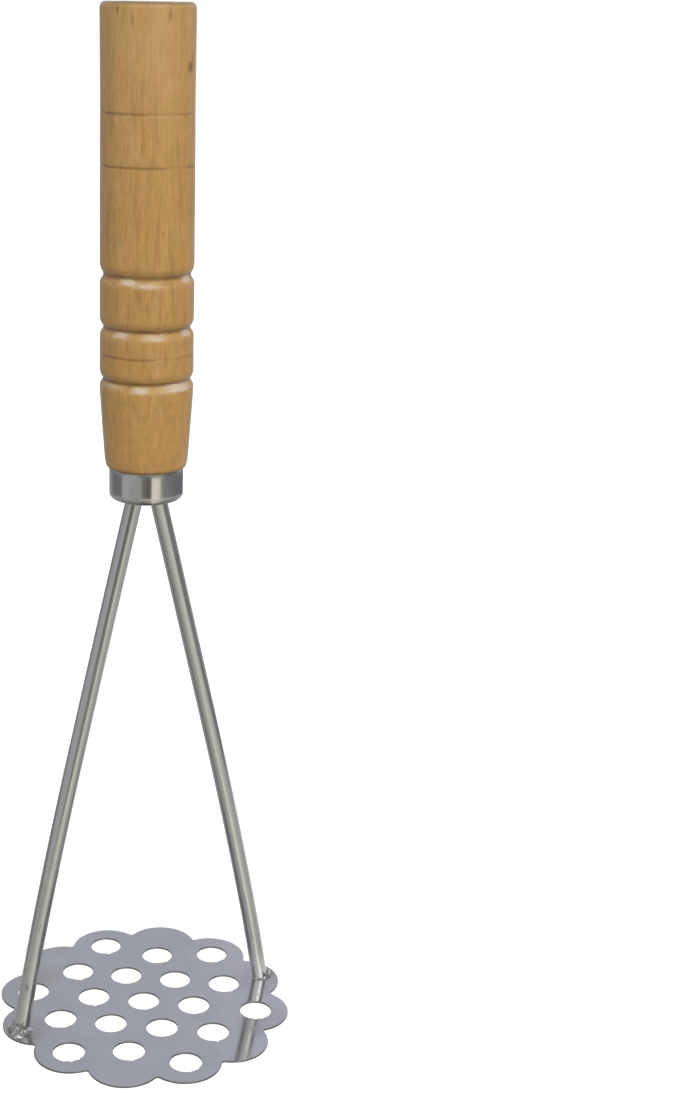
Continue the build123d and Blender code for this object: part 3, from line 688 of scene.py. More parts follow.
for i, (r, z) in enumerate(rows):
    if i < hidden_rows or r <= 1e-9:
        continue
    for j in range(SEG):
        v = verts[start[i] + j]
        a = math.atan2(v[1], v[0])
        ca, sa = math.cos(a), math.sin(a)
        # slow out-of-round, shallow chatter of the chisel, and grain that stands proud by a few hundredths
        d = 0.035 * fractal(ca * 0.8, sa * 0.8, z * 0.02, 2, 1.0)
        d += 0.010 * fractal(ca * 2.0, sa * 2.0, z * 0.55, 2, 2.0)
        d += 0.006 * fractal(ca * 26.0, sa * 26.0, z * 0.08, 2, 3.0)
        for g, seed in zip(GROOVES, (4.0, 5.0, 6.0)):
            rise = z - g
            if -3.2 < rise < 3.6:
                # torn fibres on the lower flank, smoother scorched upper flank
                torn = fractal(ca * 11.0, sa * 11.0, z * 1.5, 3, seed)
                patch = max(0.0, fractal(ca * 2.2, sa * 2.2, g * 0.1, 2, seed + 2.0) + 0.15)
                d += 0.10 * torn * bump_1d(rise, -1.3, 1.7) * (0.35 + 1.6 * patch)
                d += 0.03 * fractal(ca * 5.0, sa * 5.0, z * 0.9, 2, seed + 1.0) * bump_1d(rise, 0.6, 2.6)
        if z > HANDLE_Z1 - 0.8:
            # the rim of the top is a little dented
            v[2] -= 0.10 * max(0.0, fractal(ca * 4.0, sa * 4.0, 2.0, 2, 9.0)) + 0.02 * abs(fractal(v[0] * 0.8, v[1] * 0.8, 5.0, 2, 10.0))
        if r < 11.0 and z > HANDLE_Z1 - 0.1:
            d = 0.0
            v[2] -= 0.03 * abs(fractal(v[0] * 0.5, v[1] * 0.5, 0.0, 3, 11.0))
        v[0] += ca * d
        v[1] += sa * d
handle = make_piece("turned_handle", verts, faces, wood, "wooden_handle")

# =================================================================================================================
# legs
# =================================================================================================================
ROD_R = 2.4
TANG_X, TANG_TOP, BEND_R, BEND_END_Z, TOP_LEAN = 2.5, 212.8, 26.0, 163.15, math.radians(13.50)
BOW = [(14500.0, 80.0), (1950.0, 52.0), (900.0, 38.0)]


def leg_line():
    """Centreline stations of the right leg from the tang's top down: (x, z, lean), about a millimetre apart."""
    out = []
    bend_top = BEND_END_Z + BEND_R * math.sin(TOP_LEAN)
    for s in np.linspace(0, 1, 34)[:-1]:
        out.append((TANG_X, TANG_TOP + (bend_top - TANG_TOP) * s, 0.0))
    for s in np.linspace(0, 1, 9)[:-1]:
        a = TOP_LEAN * s
        out.append((TANG_X + BEND_R * (1 - math.cos(a)), bend_top - BEND_R * math.sin(a), a))
    lean = TOP_LEAN
    x, z = TANG_X + BEND_R * (1 - math.cos(lean)), BEND_END_Z
    for radius, length in BOW:
        cx, cz = x - radius * math.cos(lean), z - radius * math.sin(lean)
        turn = length / radius
        n = int(round(length / 1.1))
        for k in range(n):
            t = lean - turn * k / n
            out.append((cx + radius * math.cos(t), cz + radius * math.sin(t), t))
        lean -= turn
        x, z = cx + radius * math.cos(lean), cz + radius * math.sin(lean)
    out.append((x, z, lean))
    return [q for q in out if q[1] > PLATE_T + 0.75]


stations = leg_line()
foot_lean = stations[-1][2]


def foot_x():
    """x of the centreline at the plate's upper face."""
    x, z, lean = stations[-1]
    return x + (z - PLATE_T) * math.tan(foot_lean)


FOOT_X = foot_x()


def make_leg(name, sign, seed, node):
    seg = 64
    verts, faces = [], []
    for x, z, lean in stations:
        tx, tz = math.sin(lean), -math.cos(lean)          # downwards along the bar
        nx, nz = math.cos(lean), math.sin(lean)           # across the bar, outwards
        for j in range(seg):
            a = 2 * math.pi * j / seg
            ca, sa = math.cos(a), math.sin(a)
            r = ROD_R + 0.012 * fractal(ca * 0.9, sa * 0.9, z * 0.035, 2, seed) + 0.004 * fractal(ca * 2.5, sa * 2.5, z * 0.25, 2, seed + 3)
            verts.append((sign * (x + nx * r * ca), r * sa, z + nz * r * ca))
    # the flat cut at the foot
    x, z, lean = stations[-1]
    tx, tz = math.sin(lean), -math.cos(lean)
    base = (len(stations) - 1) * seg
    for j in range(seg):
        vx, vy, vz = verts[base + j]
        t = (PLATE_T - vz) / tz
        verts.append((vx + sign * tx * t, vy, PLATE_T))
    rings = len(stations) + 1
    for i in range(rings - 1):
        for j in range(seg):
            k = (j + 1) % seg
            faces.append((i * seg + j, i * seg + k, (i + 1) * seg + k, (i + 1) * seg + j))
    # caps with a small eased edge ring so that the ends shade flat
    for ring in (0, rings - 1):
        loop = [verts[ring * seg + j] for j in range(seg)]
        cx = sum(v[0] for v in loop) / seg
        cy = sum(v[1] for v in loop) / seg
        inner = len(verts)
        for v in loop:
            verts.append((cx + (v[0] - cx) * 0.93, cy + (v[1] - cy) * 0.93, v[2]))
        centre = len(verts)
        verts.append((cx, cy, sum(v[2] for v in loop) / seg))
        for j in range(seg):
            k = (j + 1) % seg
            faces.append((ring * seg + j, ring * seg + k, inner + k, inner + j))
            faces.append((inner + j, inner + k, centre))
    return make_piece(name, verts, faces, leg_steel, node)


leg_left = make_leg("left_leg_bar", -1.0, 21.0, "left_leg_rod")
leg_right = make_leg("right_leg_bar", 1.0, 37.0, "right_leg_rod")


# =================================================================================================================
# ferrule: drawn cup with two holes in its floor
# =================================================================================================================
def floor_patch(outer_r, holes, segments, hole_segments, z, spacing):
    """Triangles of a disc with holes: rim points first, then each hole's points, then inside points."""
    pts = [(outer_r * math.cos(2 * math.pi * j / segments), outer_r * math.sin(2 * math.pi * j / segments)) for j in range(segments)]
    edges = [(j, (j + 1) % segments) for j in range(segments)]
    for cx, cy, rx, ry in holes:
        s = len(pts)
        for j in range(hole_segments):
            a = 2 * math.pi * j / hole_segments
            pts.append((cx + rx * math.cos(a), cy + ry * math.sin(a)))
        edges += [(s + j, s + (j + 1) % hole_segments) for j in range(hole_segments)]
    n = int(outer_r / spacing) + 2
    for i in range(-n, n + 1):
        for j in range(-n, n + 1):
            px, py = (i + 0.5 * (j % 2)) * spacing, j * spacing * 0.866
            if math.hypot(px, py) > outer_r - 0.6 * spacing:
                continue
            if any(math.hypot((px - cx) / rx, (py - cy) / ry) < 1 + 0.45 * spacing / min(rx, ry) for cx, cy, rx, ry in holes):
                continue
            pts.append((px, py))
    out = geometry.delaunay_2d_cdt([Vector(p) for p in pts], edges, [], 0, 1e-7)
    vs, tris, origin = out[0], out[2], out[3]
    keep = []
    for t in tris:
        cx0 = sum(vs[i][0] for i in t) / 3
        cy0 = sum(vs[i][1] for i in t) / 3
        if math.hypot(cx0, cy0) > outer_r:
            continue
        if any(math.hypot((cx0 - cx) / rx, (cy0 - cy) / ry) < 1 for cx, cy, rx, ry in holes):
            continue
        keep.append(tuple(t))
    return [(v[0], v[1], z) for v in vs], keep


F_SEG, H_SEG = 192, 48
Z0, Z1 = FERRULE_Z0, HANDLE_Z0
f_rows = [(8.8, Z0), (9.05, Z0 + 0.02)]
for k in range(1, 9):
    a = math.radians(90 - k * 10)
    f_rows.append((8.8 + 1.5 * math.cos(a), Z0 + 1.5 - 1.5 * math.sin(a)))
f_rows += [(10.3, Z0 + 1.65), (10.3, Z0 + 2.5), (10.3, Z0 + 3.8), (10.3, Z0 + 5.2), (10.3, Z0 + 6.7), (10.3, Z1 - 0.8), (10.29, Z1 - 0.35),
           (10.25, Z1 - 0.16), (10.16, Z1 - 0.04), (10.05, Z1), (9.92, Z1 - 0.01), (9.83, Z1 - 0.1), (9.8, Z1 - 0.3), (9.8, Z1 - 2.8),
           (9.8, Z0 + 2.7), (9.8, Z0 + 1.65)]
for k in range(1, 7):
    a = math.radians(k * 15)
    f_rows.append((8.8 + 1.0 * math.cos(a), Z0 + 1.5 - 1.0 * math.sin(a)))
f_rows[-1] = (8.8, Z0 + 0.5)
verts, faces, start = lathe(f_rows, F_SEG)
verts = [list(v) for v in verts]
for i, (r, z) in enumerate(f_rows):
    if not Z0 + 0.7 < z < Z1 - 0.1 or r < 9.9:
        continue
    for j in range(F_SEG):
        v = verts[start[i] + j]
        a = math.atan2(v[1], v[0])
        d = 0.018 * fractal(math.cos(a) * 1.6, math.sin(a) * 1.6, z * 0.12, 2, 51.0) + 0.006 * fractal(math.cos(a) * 6, math.sin(a) * 6, z * 0.3, 2, 52.0)
        v[0] += math.cos(a) * d
        v[1] += math.sin(a) * d
bend_top = BEND_END_Z + BEND_R * math.sin(TOP_LEAN)


def rod_x(z):
    lo = min(stations, key=lambda s: abs(s[1] - z))
    return lo[0] + (lo[1] - z) * math.tan(lo[2])


patches = []
for z in (Z0, Z0 + 0.5):
    cx = rod_x(z)
    holes = [(cx, 0.0, 2.55 / math.cos(TOP_LEAN), 2.55), (-cx, 0.0, 2.55 / math.cos(TOP_LEAN), 2.55)]
    patches.append((floor_patch(8.8, holes, F_SEG, H_SEG, z, 1.1), holes))
for (pv, pf), holes in patches:
    s = len(verts)
    verts += pv
    faces += [tuple(s + i for i in t) for t in pf]
for h in range(2):
    lower, upper = patches[0][1][h], patches[1][1][h]
    s = len(verts)
    for (cx, cy, rx, ry), z in ((lower, Z0), (upper, Z0 + 0.5)):
        for j in range(H_SEG):
            a = 2 * math.pi * j / H_SEG
            verts.append((cx + rx * math.cos(a), cy + ry * math.sin(a), z))
    for j in range(H_SEG):
        k = (j + 1) % H_SEG
        faces.append((s + j, s + k, s + H_SEG + k, s + H_SEG + j))
ferrule = make_piece("drawn_ferrule", verts, faces, ferrule_metal, "handle_ferrule", merge=0.0004)

# =================================================================================================================
# brad: low domed head on the ferrule, shank through it into the wood
# =================================================================================================================
BRAD_AZ, BRAD_Z = math.radians(33.5), 164.6
out_dir = Vector((-math.sin(BRAD_AZ), -math.cos(BRAD_AZ), 0))
side_dir = Vector((math.cos(BRAD_AZ), -math.sin(BRAD_AZ), 0))
up_dir = Vector((0, 0, 1))
profile = [(0.0, 6.95), (0.12, 7.05), (0.30, 7.4), (0.45, 7.75), (0.45, 8.6), (0.45, 9.6), (0.45, 10.08), (0.62, 10.10), (0.70, 10.14),
           (0.70, 10.36), (0.66, 10.44), (0.56, 10.49), (0.42, 10.515), (0.25, 10.52), (0.0, 10.52)]
verts, faces, start = lathe(profile, 40)
placed = []
for v in verts:
    q = side_dir * v[0] + up_dir * v[1] + out_dir * v[2]
    ding = 0.018 * fractal(v[0] * 2.0, v[1] * 2.0, v[2], 2, 61.0) if v[2] > 10.4 else 0.0
    q = q + out_dir * (ding - 0.018 if v[2] > 10.4 else 0.0)
    placed.append((q.x, q.y, q.z + BRAD_Z))
brad = make_piece("ferrule_pin", placed, faces, brad_steel, "ferrule_brad")

# =================================================================================================================
# mashing plate: twelve scallops, nineteen punched holes
# =================================================================================================================
LOBE_RHO, LOBE_R, CUSP, HOLE_R = 33.6, 11.0, 0.8, 4.76
half_step = math.radians(15)
cusp_rho = LOBE_RHO * math.cos(half_step) + math.sqrt((LOBE_R + CUSP) ** 2 - (LOBE_RHO * math.sin(half_step)) ** 2)
psi = math.atan2(cusp_rho * math.sin(half_step), cusp_rho * math.cos(half_step) - LOBE_RHO)
sweep_half = psi - half_step
LOBE_N, CUSP_N = 50, 9


def outline(inset, ragged=0.0):
    """The scalloped outline, moved inwards. The same number of points for every inset."""
    pts = []
    for i in range(12):
        a0 = math.radians(30 * i)
        cx, cy = LOBE_RHO * math.cos(a0), LOBE_RHO * math.sin(a0)
        for k in range(LOBE_N):
            t = a0 - psi + 2 * psi * k / (LOBE_N - 1)
            extra = ragged * (0.5 + 0.5 * fractal(cx + 12 * math.cos(t), cy + 12 * math.sin(t), 0.0, 3, 71.0))
            r = LOBE_R - inset - extra
            pts.append((cx + r * math.cos(t), cy + r * math.sin(t)))
        a1 = a0 + half_step
        cx, cy = cusp_rho * math.cos(a1), cusp_rho * math.sin(a1)
        for k in range(1, CUSP_N - 1):
            # walked from this lobe's side to the next lobe's side, through the innermost point
            t = a1 + math.pi + sweep_half - 2 * sweep_half * k / (CUSP_N - 1)
            r = CUSP + inset
            pts.append((cx + r * math.cos(t), cy + r * math.sin(t)))
    return pts


def ring_of(rho, first):
    return [(rho * math.cos(math.radians(first + 60 * i)), rho * math.sin(math.radians(first + 60 * i))) for i in range(6)]


HOLES = [(0.0, 0.0)] + ring_of(15.6, 30) + ring_of(26.9, 0) + ring_of(34.7, 30)
# nicks and burrs left by a worn punch: hole number, direction in degrees, depth into the sheet (negative: a burr that
# stands into the hole) and half width, in mm
NICKS = [
    (0, -104, 0.16, 0.9), (0, -72, -0.10, 0.7), (0, 62, 0.06, 0.9), (1, -60, -0.08, 0.9), (1, 20, 0.05, 0.8),
    (2, -140, -0.12, 1.0), (2, -98, 0.14, 0.5), (3, -104, 0.52, 0.75), (3, -128, 0.12, 0.5), (4, -70, 0.08, 0.7), (4, 150, 0.06, 0.8),
    (5, -75, -0.08, 0.8), (6, -109, 0.22, 0.7), (7, -83, 0.30, 0.45), (7, -65, -0.18, 0.7), (8, -95, -0.10, 1.2), (8, -68, 0.20, 0.5),
    (9, -128, -0.28, 1.3), (9, -98, 0.45, 0.55), (9, -78, -0.22, 0.6), (10, -135, 0.30, 0.45), (10, -112, -0.15, 0.7), (10, -90, 0.20, 0.4),
    (10, -74, -0.20, 0.5), (11, -99, 0.28, 0.9), (11, -78, -0.12, 0.5), (12, -98, 0.70, 0.42), (12, -118, -0.12, 0.7),
    (13, -73, -0.25, 1.0), (14, -118, -0.15, 0.7), (14, -97, 0.55, 0.5), (14, -76, -0.22, 0.8), (15, -100, 0.30, 0.6), (15, -60, -0.15, 0.8),
    (16, -128, 0.20, 0.40), (16, -113, -0.45, 0.34), (16, -99, 0.30, 0.36), (16, -84, -0.20, 0.34), (16, -72, 0.22, 0.36), (16, -60, -0.20, 0.4),
    (17, -62, 0.40, 0.34), (17, -52, -0.25, 0.36), (17, -95, 0.10, 0.8), (18, -127, -0.35, 0.40), (18, -113, 0.15, 0.36),
    (18, -100, -0.30, 0.40), (18, -85, 0.18, 0.5),
]
HOLE_N = 150


def hole_loop(number, grow):
    cx, cy = HOLES[number]
    pts = []
    for k in range(HOLE_N):
        a = 2 * math.pi * k / HOLE_N
        extra = 0.018 * fractal(cx + HOLE_R * math.cos(a), cy + HOLE_R * math.sin(a), 3.0, 2, 81.0)
        for n, direction, depth, half in NICKS:
            if n == number:
                extra += depth * bump_1d(ang_diff(math.degrees(a), direction) * math.pi / 180 * HOLE_R, 0.0, half)
        # a positive extra opens the hole
        r = HOLE_R + grow + extra
        pts.append((cx + r * math.cos(a), cy + r * math.sin(a)))
    return pts


def dish(x, y):
    """The sheet's slight unevenness, never above its nominal face."""
    return 0.020 * (0.5 + 0.5 * fractal(x * 0.035, y * 0.035, 0.0, 2, 91.0))


def sheet_face(inset, grow, spacing):
    """Flat triangles between the outline and the hole loops."""
    pts = outline(inset, RAGGED)
    n0 = len(pts)
    edges = [(j, (j + 1) % n0) for j in range(n0)]
    for h in range(len(HOLES)):
        s = len(pts)
        loop = hole_loop(h, grow)
        pts += loop
        edges += [(s + j, s + (j + 1) % HOLE_N) for j in range(HOLE_N)]
    fixed = len(pts)
    reach = int(46 / spacing) + 2
    for i in range(-reach, reach + 1):
        for j in range(-reach, reach + 1):
            px, py = (i + 0.5 * (j % 2)) * spacing, j * spacing * 0.866
            rr = math.hypot(px, py)
            if rr > 46 or rr > lobe_radius(math.atan2(py, px)) - inset - 0.55 * spacing:
                continue
            if any(math.hypot(px - cx, py - cy) < HOLE_R + grow + 0.35 + 0.45 * spacing for cx, cy in HOLES):
                continue
            pts.append((px, py))
    out = geometry.delaunay_2d_cdt([Vector(p) for p in pts], edges, [], 0, 1e-7)
    vs, tris, origin = out[0], out[2], out[3]
    loops = [np.array(pts[:n0])] + [np.array(pts[n0 + h * HOLE_N:n0 + (h + 1) * HOLE_N]) for h in range(len(HOLES))]
    keep = []
    for t in tris:
        # which loops the corners belong to: a triangle with all corners on one hole's loop lies in the hole
        cx0 = sum(vs[i][0] for i in t) / 3
        cy0 = sum(vs[i][1] for i in t) / 3
        if not inside(cx0, cy0, loops[0]):
            continue
        bad = False
        for h, (cx, cy) in enumerate(HOLES):
            if math.hypot(cx0 - cx, cy0 - cy) < HOLE_R + grow + 0.8 and inside(cx0, cy0, loops[h + 1]):
                bad = True
                break
        if not bad:
            keep.append(tuple(t))
    return [(v[0], v[1]) for v in vs], keep


def inside(x, y, loop):
    """Even-odd test for a point in a closed loop."""
    x0, y0 = loop[:, 0], loop[:, 1]
    x1, y1 = np.roll(x0, -1), np.roll(y0, -1)
    cross = (y0 > y) != (y1 > y)
    if not cross.any():
        return False
    xi = x0[cross] + (y - y0[cross]) / (y1[cross] - y0[cross]) * (x1[cross] - x0[cross])
    return bool((xi > x).sum() % 2)


def lobe_radius(angle):
    d = (angle + half_step) % (2 * half_step) - half_step
    return LOBE_RHO * math.cos(d) + math.sqrt(max(0.0, LOBE_R ** 2 - (LOBE_RHO * math.sin(d)) ** 2))


RAGGED = 0.035
# section of every punched edge: distance in from the edge, height
EDGE = [(0.36, 0.6), (0.18, 0.6), (0.10, 0.588), (0.045, 0.555), (0.012, 0.505), (0.0, 0.44), (0.0, 0.24), (0.004, 0.10), (0.018, 0.045), (0.05, 0.010),
        (0.09, 0.0), (0.28, 0.0)]
verts, faces = [], []


def add_rings(loops):
    """Quads between loops that have the same number of points."""
    s = len(verts)
    n = len(loops[0][0])
    for pts, z in loops:
        for x, y in pts:
            verts.append((x, y, z - dish(x, y) if z > 0.3 else z))
    for i in range(len(loops) - 1):
        for j in range(n):
            k = (j + 1) % n
            faces.append((s + i * n + j, s + i * n + k, s + (i + 1) * n + k, s + (i + 1) * n + j))


add_rings([(outline(d, RAGGED), z) for d, z in EDGE])
for h in range(len(HOLES)):
    add_rings([(hole_loop(h, d), z) for d, z in EDGE])
for (d, z), spacing in ((EDGE[0], 1.5), (EDGE[-1], 2.6)):
    pv, pf = sheet_face(d, d, spacing)
    s = len(verts)
    verts += [(x, y, z - dish(x, y) if z > 0.3 else z) for x, y in pv]
    faces += [tuple(s + i for i in t) for t in pf]
plate = make_piece("scalloped_plate", verts, faces, plate_steel, "mashing_plate", merge=0.0004)


# =================================================================================================================
# foot welds
# =================================================================================================================
def around(table, deg):
    """Value of a table of (direction in degrees, value) at a direction, with smooth steps between the entries."""
    n = len(table)
    for i in range(n):
        d0, v0 = table[i]
        d1, v1 = table[(i + 1) % n]
        span = (d1 - d0) % 360.0
        t = (deg - d0) % 360.0
        if t <= span:
            t = t / span
            return v0 + (v1 - v0) * t * t * (3 - 2 * t)
    return table[0][1]


def make_weld(name, sign, node, seed, reach, height, full, drops, pits):
    """A hand-laid bead round a leg's foot. reach and height: tables by direction; full: 0 for a hollow fillet to 1 for a
    swollen bead; drops and pits: direction in degrees, distance from the bar's axis, radius and height or depth, in mm."""
    seg, steps = 150, 34
    cx = sign * FOOT_X
    verts, faces = [], []
    spots = [(r * math.cos(math.radians(d)), r * math.sin(math.radians(d)), w, h) for d, r, w, h in drops]
    holes = [(r * math.cos(math.radians(d)), r * math.sin(math.radians(d)), w, h) for d, r, w, h in pits]
    inner = ROD_R - 0.35
    for i in range(steps + 1):
        s = i / steps
        for j in range(seg):
            a = 2 * math.pi * j / seg
            ca, sa = math.cos(a), math.sin(a)
            outer_reach = around(reach, math.degrees(a)) * (1 + 0.035 * fractal(ca * 2.4, sa * 2.4, 1.0, 3, seed))
            rise = around(height, math.degrees(a)) * (1 + 0.10 * fractal(ca * 2.0, sa * 2.0, 4.0, 2, seed + 1))
            swell = around(full, math.degrees(a))
            rr = outer_reach + (inner - outer_reach) * s
            t = min(1.0, (outer_reach - rr) / max(1e-6, outer_reach - ROD_R))
            hollow = 0.35 * t + 0.65 * t * t
            bead = math.sqrt(max(0.0, 1 - (1 - t) ** 2.2))
            zz = rise * (hollow + (bead - hollow) * swell)
            for bx, by, w, h in spots:
                d = math.hypot(rr * ca - bx, rr * sa - by) / w
                if d < 1:
                    blob = h * math.sqrt(1 - d * d)
                    zz = (zz ** 4 + blob ** 4) ** 0.25
            for bx, by, w, h in holes:
                d = math.hypot(rr * ca - bx, rr * sa - by) / w
                if d < 1:
                    zz -= h * (1 - d * d) ** 1.5
            zz += 0.10 * fractal(rr * ca * 0.9, rr * sa * 0.9, 0.0, 3, seed + 2) * math.sin(math.pi * min(1.0, t))
            shift = -sign * math.tan(foot_lean) * zz
            verts.append((cx + shift + rr * ca, rr * sa, max(PLATE_T - 0.07, PLATE_T - 0.05 + zz)))
    for i in range(steps):
        for j in range(seg):
            k = (j + 1) % seg
            faces.append((i * seg + j, i * seg + k, (i + 1) * seg + k, (i + 1) * seg + j))
    # underside and the ring hidden in the bar
    s0 = len(verts)
    for j in range(seg):
        x, y, z = verts[j]
        verts.append((x, y, PLATE_T - 0.10))
    s1 = len(verts)
    for j in range(seg):
        a = 2 * math.pi * j / seg
        verts.append((cx + inner * math.cos(a), inner * math.sin(a), PLATE_T - 0.10))
    top = steps * seg
    for j in range(seg):
        k = (j + 1) % seg
        faces.append((j, k, s0 + k, s0 + j))
        faces.append((s0 + j, s0 + k, s1 + k, s1 + j))
        faces.append((s1 + j, s1 + k, top + k, top + j))
    return make_piece(name, verts, faces, weld_steel, node)


weld_left = make_weld(
    "left_weld_bead", -1.0, "left_foot_weld", 3.0,
    reach=[(-180, 4.5), (-150, 5.0), (-126, 6.3), (-104, 6.0), (-80, 4.9), (-50, 3.9), (-20, 3.3), (10, 3.2), (60, 3.7), (110, 4.2), (150, 4.5)],
    height=[(-180, 1.6), (-150, 1.9), (-120, 1.9), (-90, 1.4), (-60, 0.9), (-30, 0.6), (10, 0.6), (60, 1.5), (110, 2.1), (150, 1.9)],
    full=[(-180, 0.35), (-130, 0.55), (-90, 0.5), (-40, 0.4), (60, 0.3), (150, 0.3)],
    drops=[(-122, 4.75, 1.50, 1.30), (-146, 3.3, 1.50, 2.05), (-82, 3.2, 1.15, 1.05)],
    pits=[(-176, 3.3, 1.00, 1.8), (-128, 4.0, 0.60, 1.1), (-96, 4.2, 0.60, 0.6)])
weld_right = make_weld(
    "right_weld_bead", 1.0, "right_foot_weld", 8.0,
    reach=[(-180, 2.8), (-150, 2.70), (-120, 2.62), (-90, 2.70), (-60, 3.0), (-32, 3.9), (-8, 4.7), (18, 5.3), (45, 4.6), (75, 3.7), (110, 3.3), (150, 3.0)],
    height=[(-180, 0.35), (-150, 0.25), (-110, 0.18), (-80, 0.35), (-55, 0.9), (-30, 1.8), (0, 2.7), (20, 2.9), (45, 2.3), (75, 1.5), (110, 1.0), (150, 0.6)],
    full=[(-180, 0.4), (-60, 0.3), (-30, 0.12), (0, 0.05), (30, 0.05), (60, 0.2), (120, 0.4)],
    drops=[(8, 3.9, 0.9, 1.35)],
    pits=[(-12, 3.25, 0.75, 1.7), (36, 3.5, 0.6, 0.8)])

# =================================================================================================================
# carried-over pieces inside the handle
# =================================================================================================================
for node, material in (("tang_weld", weld_steel), ("tang_adhesive", tang_resin)):
    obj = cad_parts[node]
    obj.data.materials.clear()
    obj.data.materials.append(material)

# =================================================================================================================
# floor, light, camera
# =================================================================================================================
scene = bpy.context.scene
scene.view_settings.view_transform = "Standard"
scene.view_settings.look = "None"
scene.view_settings.exposure = 0.0
scene.view_settings.gamma = 1.0

FACING = math.atan2(-0.43779, -0.16677)        # world direction from the masher towards the camera


def make_floor():
    mesh = bpy.data.meshes.new("studio_floor")
    bm = bmesh.new()
    centre = bm.verts.new((0, 0, 0))
    loops = []
    for r in (0.25, 0.6, 1.4, 3.0, 7.0, 15.0):
        loops.append([bm.verts.new((r * math.cos(2 * math.pi * k / 64), r * math.sin(2 * math.pi * k / 64), 0)) for k in range(64)])
    for k in range(64):
        n = (k + 1) % 64
        bm.faces.new((centre, loops[0][k], loops[0][n]))
        for a, b in zip(loops[:-1], loops[1:]):
            bm.faces.new((a[k], b[k], b[n], a[n]))
    bm.to_mesh(mesh)
    bm.free()
    floor = bpy.data.objects.new("studio_floor", mesh)
    floor.location = (0, 0, -0.00005)
    scene.collection.objects.link(floor)
    m = Nodes("studio_floor_paint")
    nodes, links = m.tree.nodes, m.tree.links
    diffuse = nodes.new("ShaderNodeBsdfDiffuse")
    diffuse.inputs["Color"].default_value = (0.30, 0.30, 0.30, 1)
    glow = nodes.new("ShaderNodeEmission")
    glow.inputs["Color"].default_value = (1, 1, 1, 1)
    glow.inputs["Strength"].default_value = 0.94
    add = nodes.new("ShaderNodeAddShader")
    links.new(diffuse.outputs[0], add.inputs[0])
    links.new(glow.outputs[0], add.inputs[1])
    links.new(add.outputs[0], m.out.inputs["Surface"])
    m.material.cycles.emission_sampling = "NONE"
    mesh.materials.append(m.material)
    floor.visible_glossy = False
    floor.visible_diffuse = False


make_floor()


def area_light(name, alpha, elevation, distance, size, power, target=(0, 0, 0.19), colour=(1, 1, 1)):
    """A softbox. alpha is degrees to the right of the camera, seen from the masher's axis."""
    data = bpy.data.lights.new(name, "AREA")
    data.shape = "RECTANGLE"
    data.size, data.size_y = size
    data.energy = power
    data.color = colour
    obj = bpy.data.objects.new(name, data)
    a, e = FACING + math.radians(alpha), math.radians(elevation)
    direction = Vector((math.cos(a) * math.cos(e), math.sin(a) * math.cos(e), math.sin(e)))
    obj.location = Vector(target) + direction * distance
    obj.rotation_mode = "QUATERNION"
    obj.rotation_quaternion = direction.to_track_quat("Z", "Y")
    obj.visible_camera = False
    obj.visible_glossy = False
    scene.collection.objects.link(obj)
    return obj


area_light("key_softbox", 24, 30, 1.5, (0.9, 1.1), 17.0)
area_light("fill_softbox", -80, 12, 1.8, (1.2, 1.2), 7.0)
area_light("side_softbox", 82, 14, 1.8, (1.2, 1.2), 2.6)
area_light("top_softbox", 20, 80, 1.5, (1.2, 1.2), 4.0)
area_light("back_softbox", 176, 30, 1.8, (1.3, 1.1), 9.0)


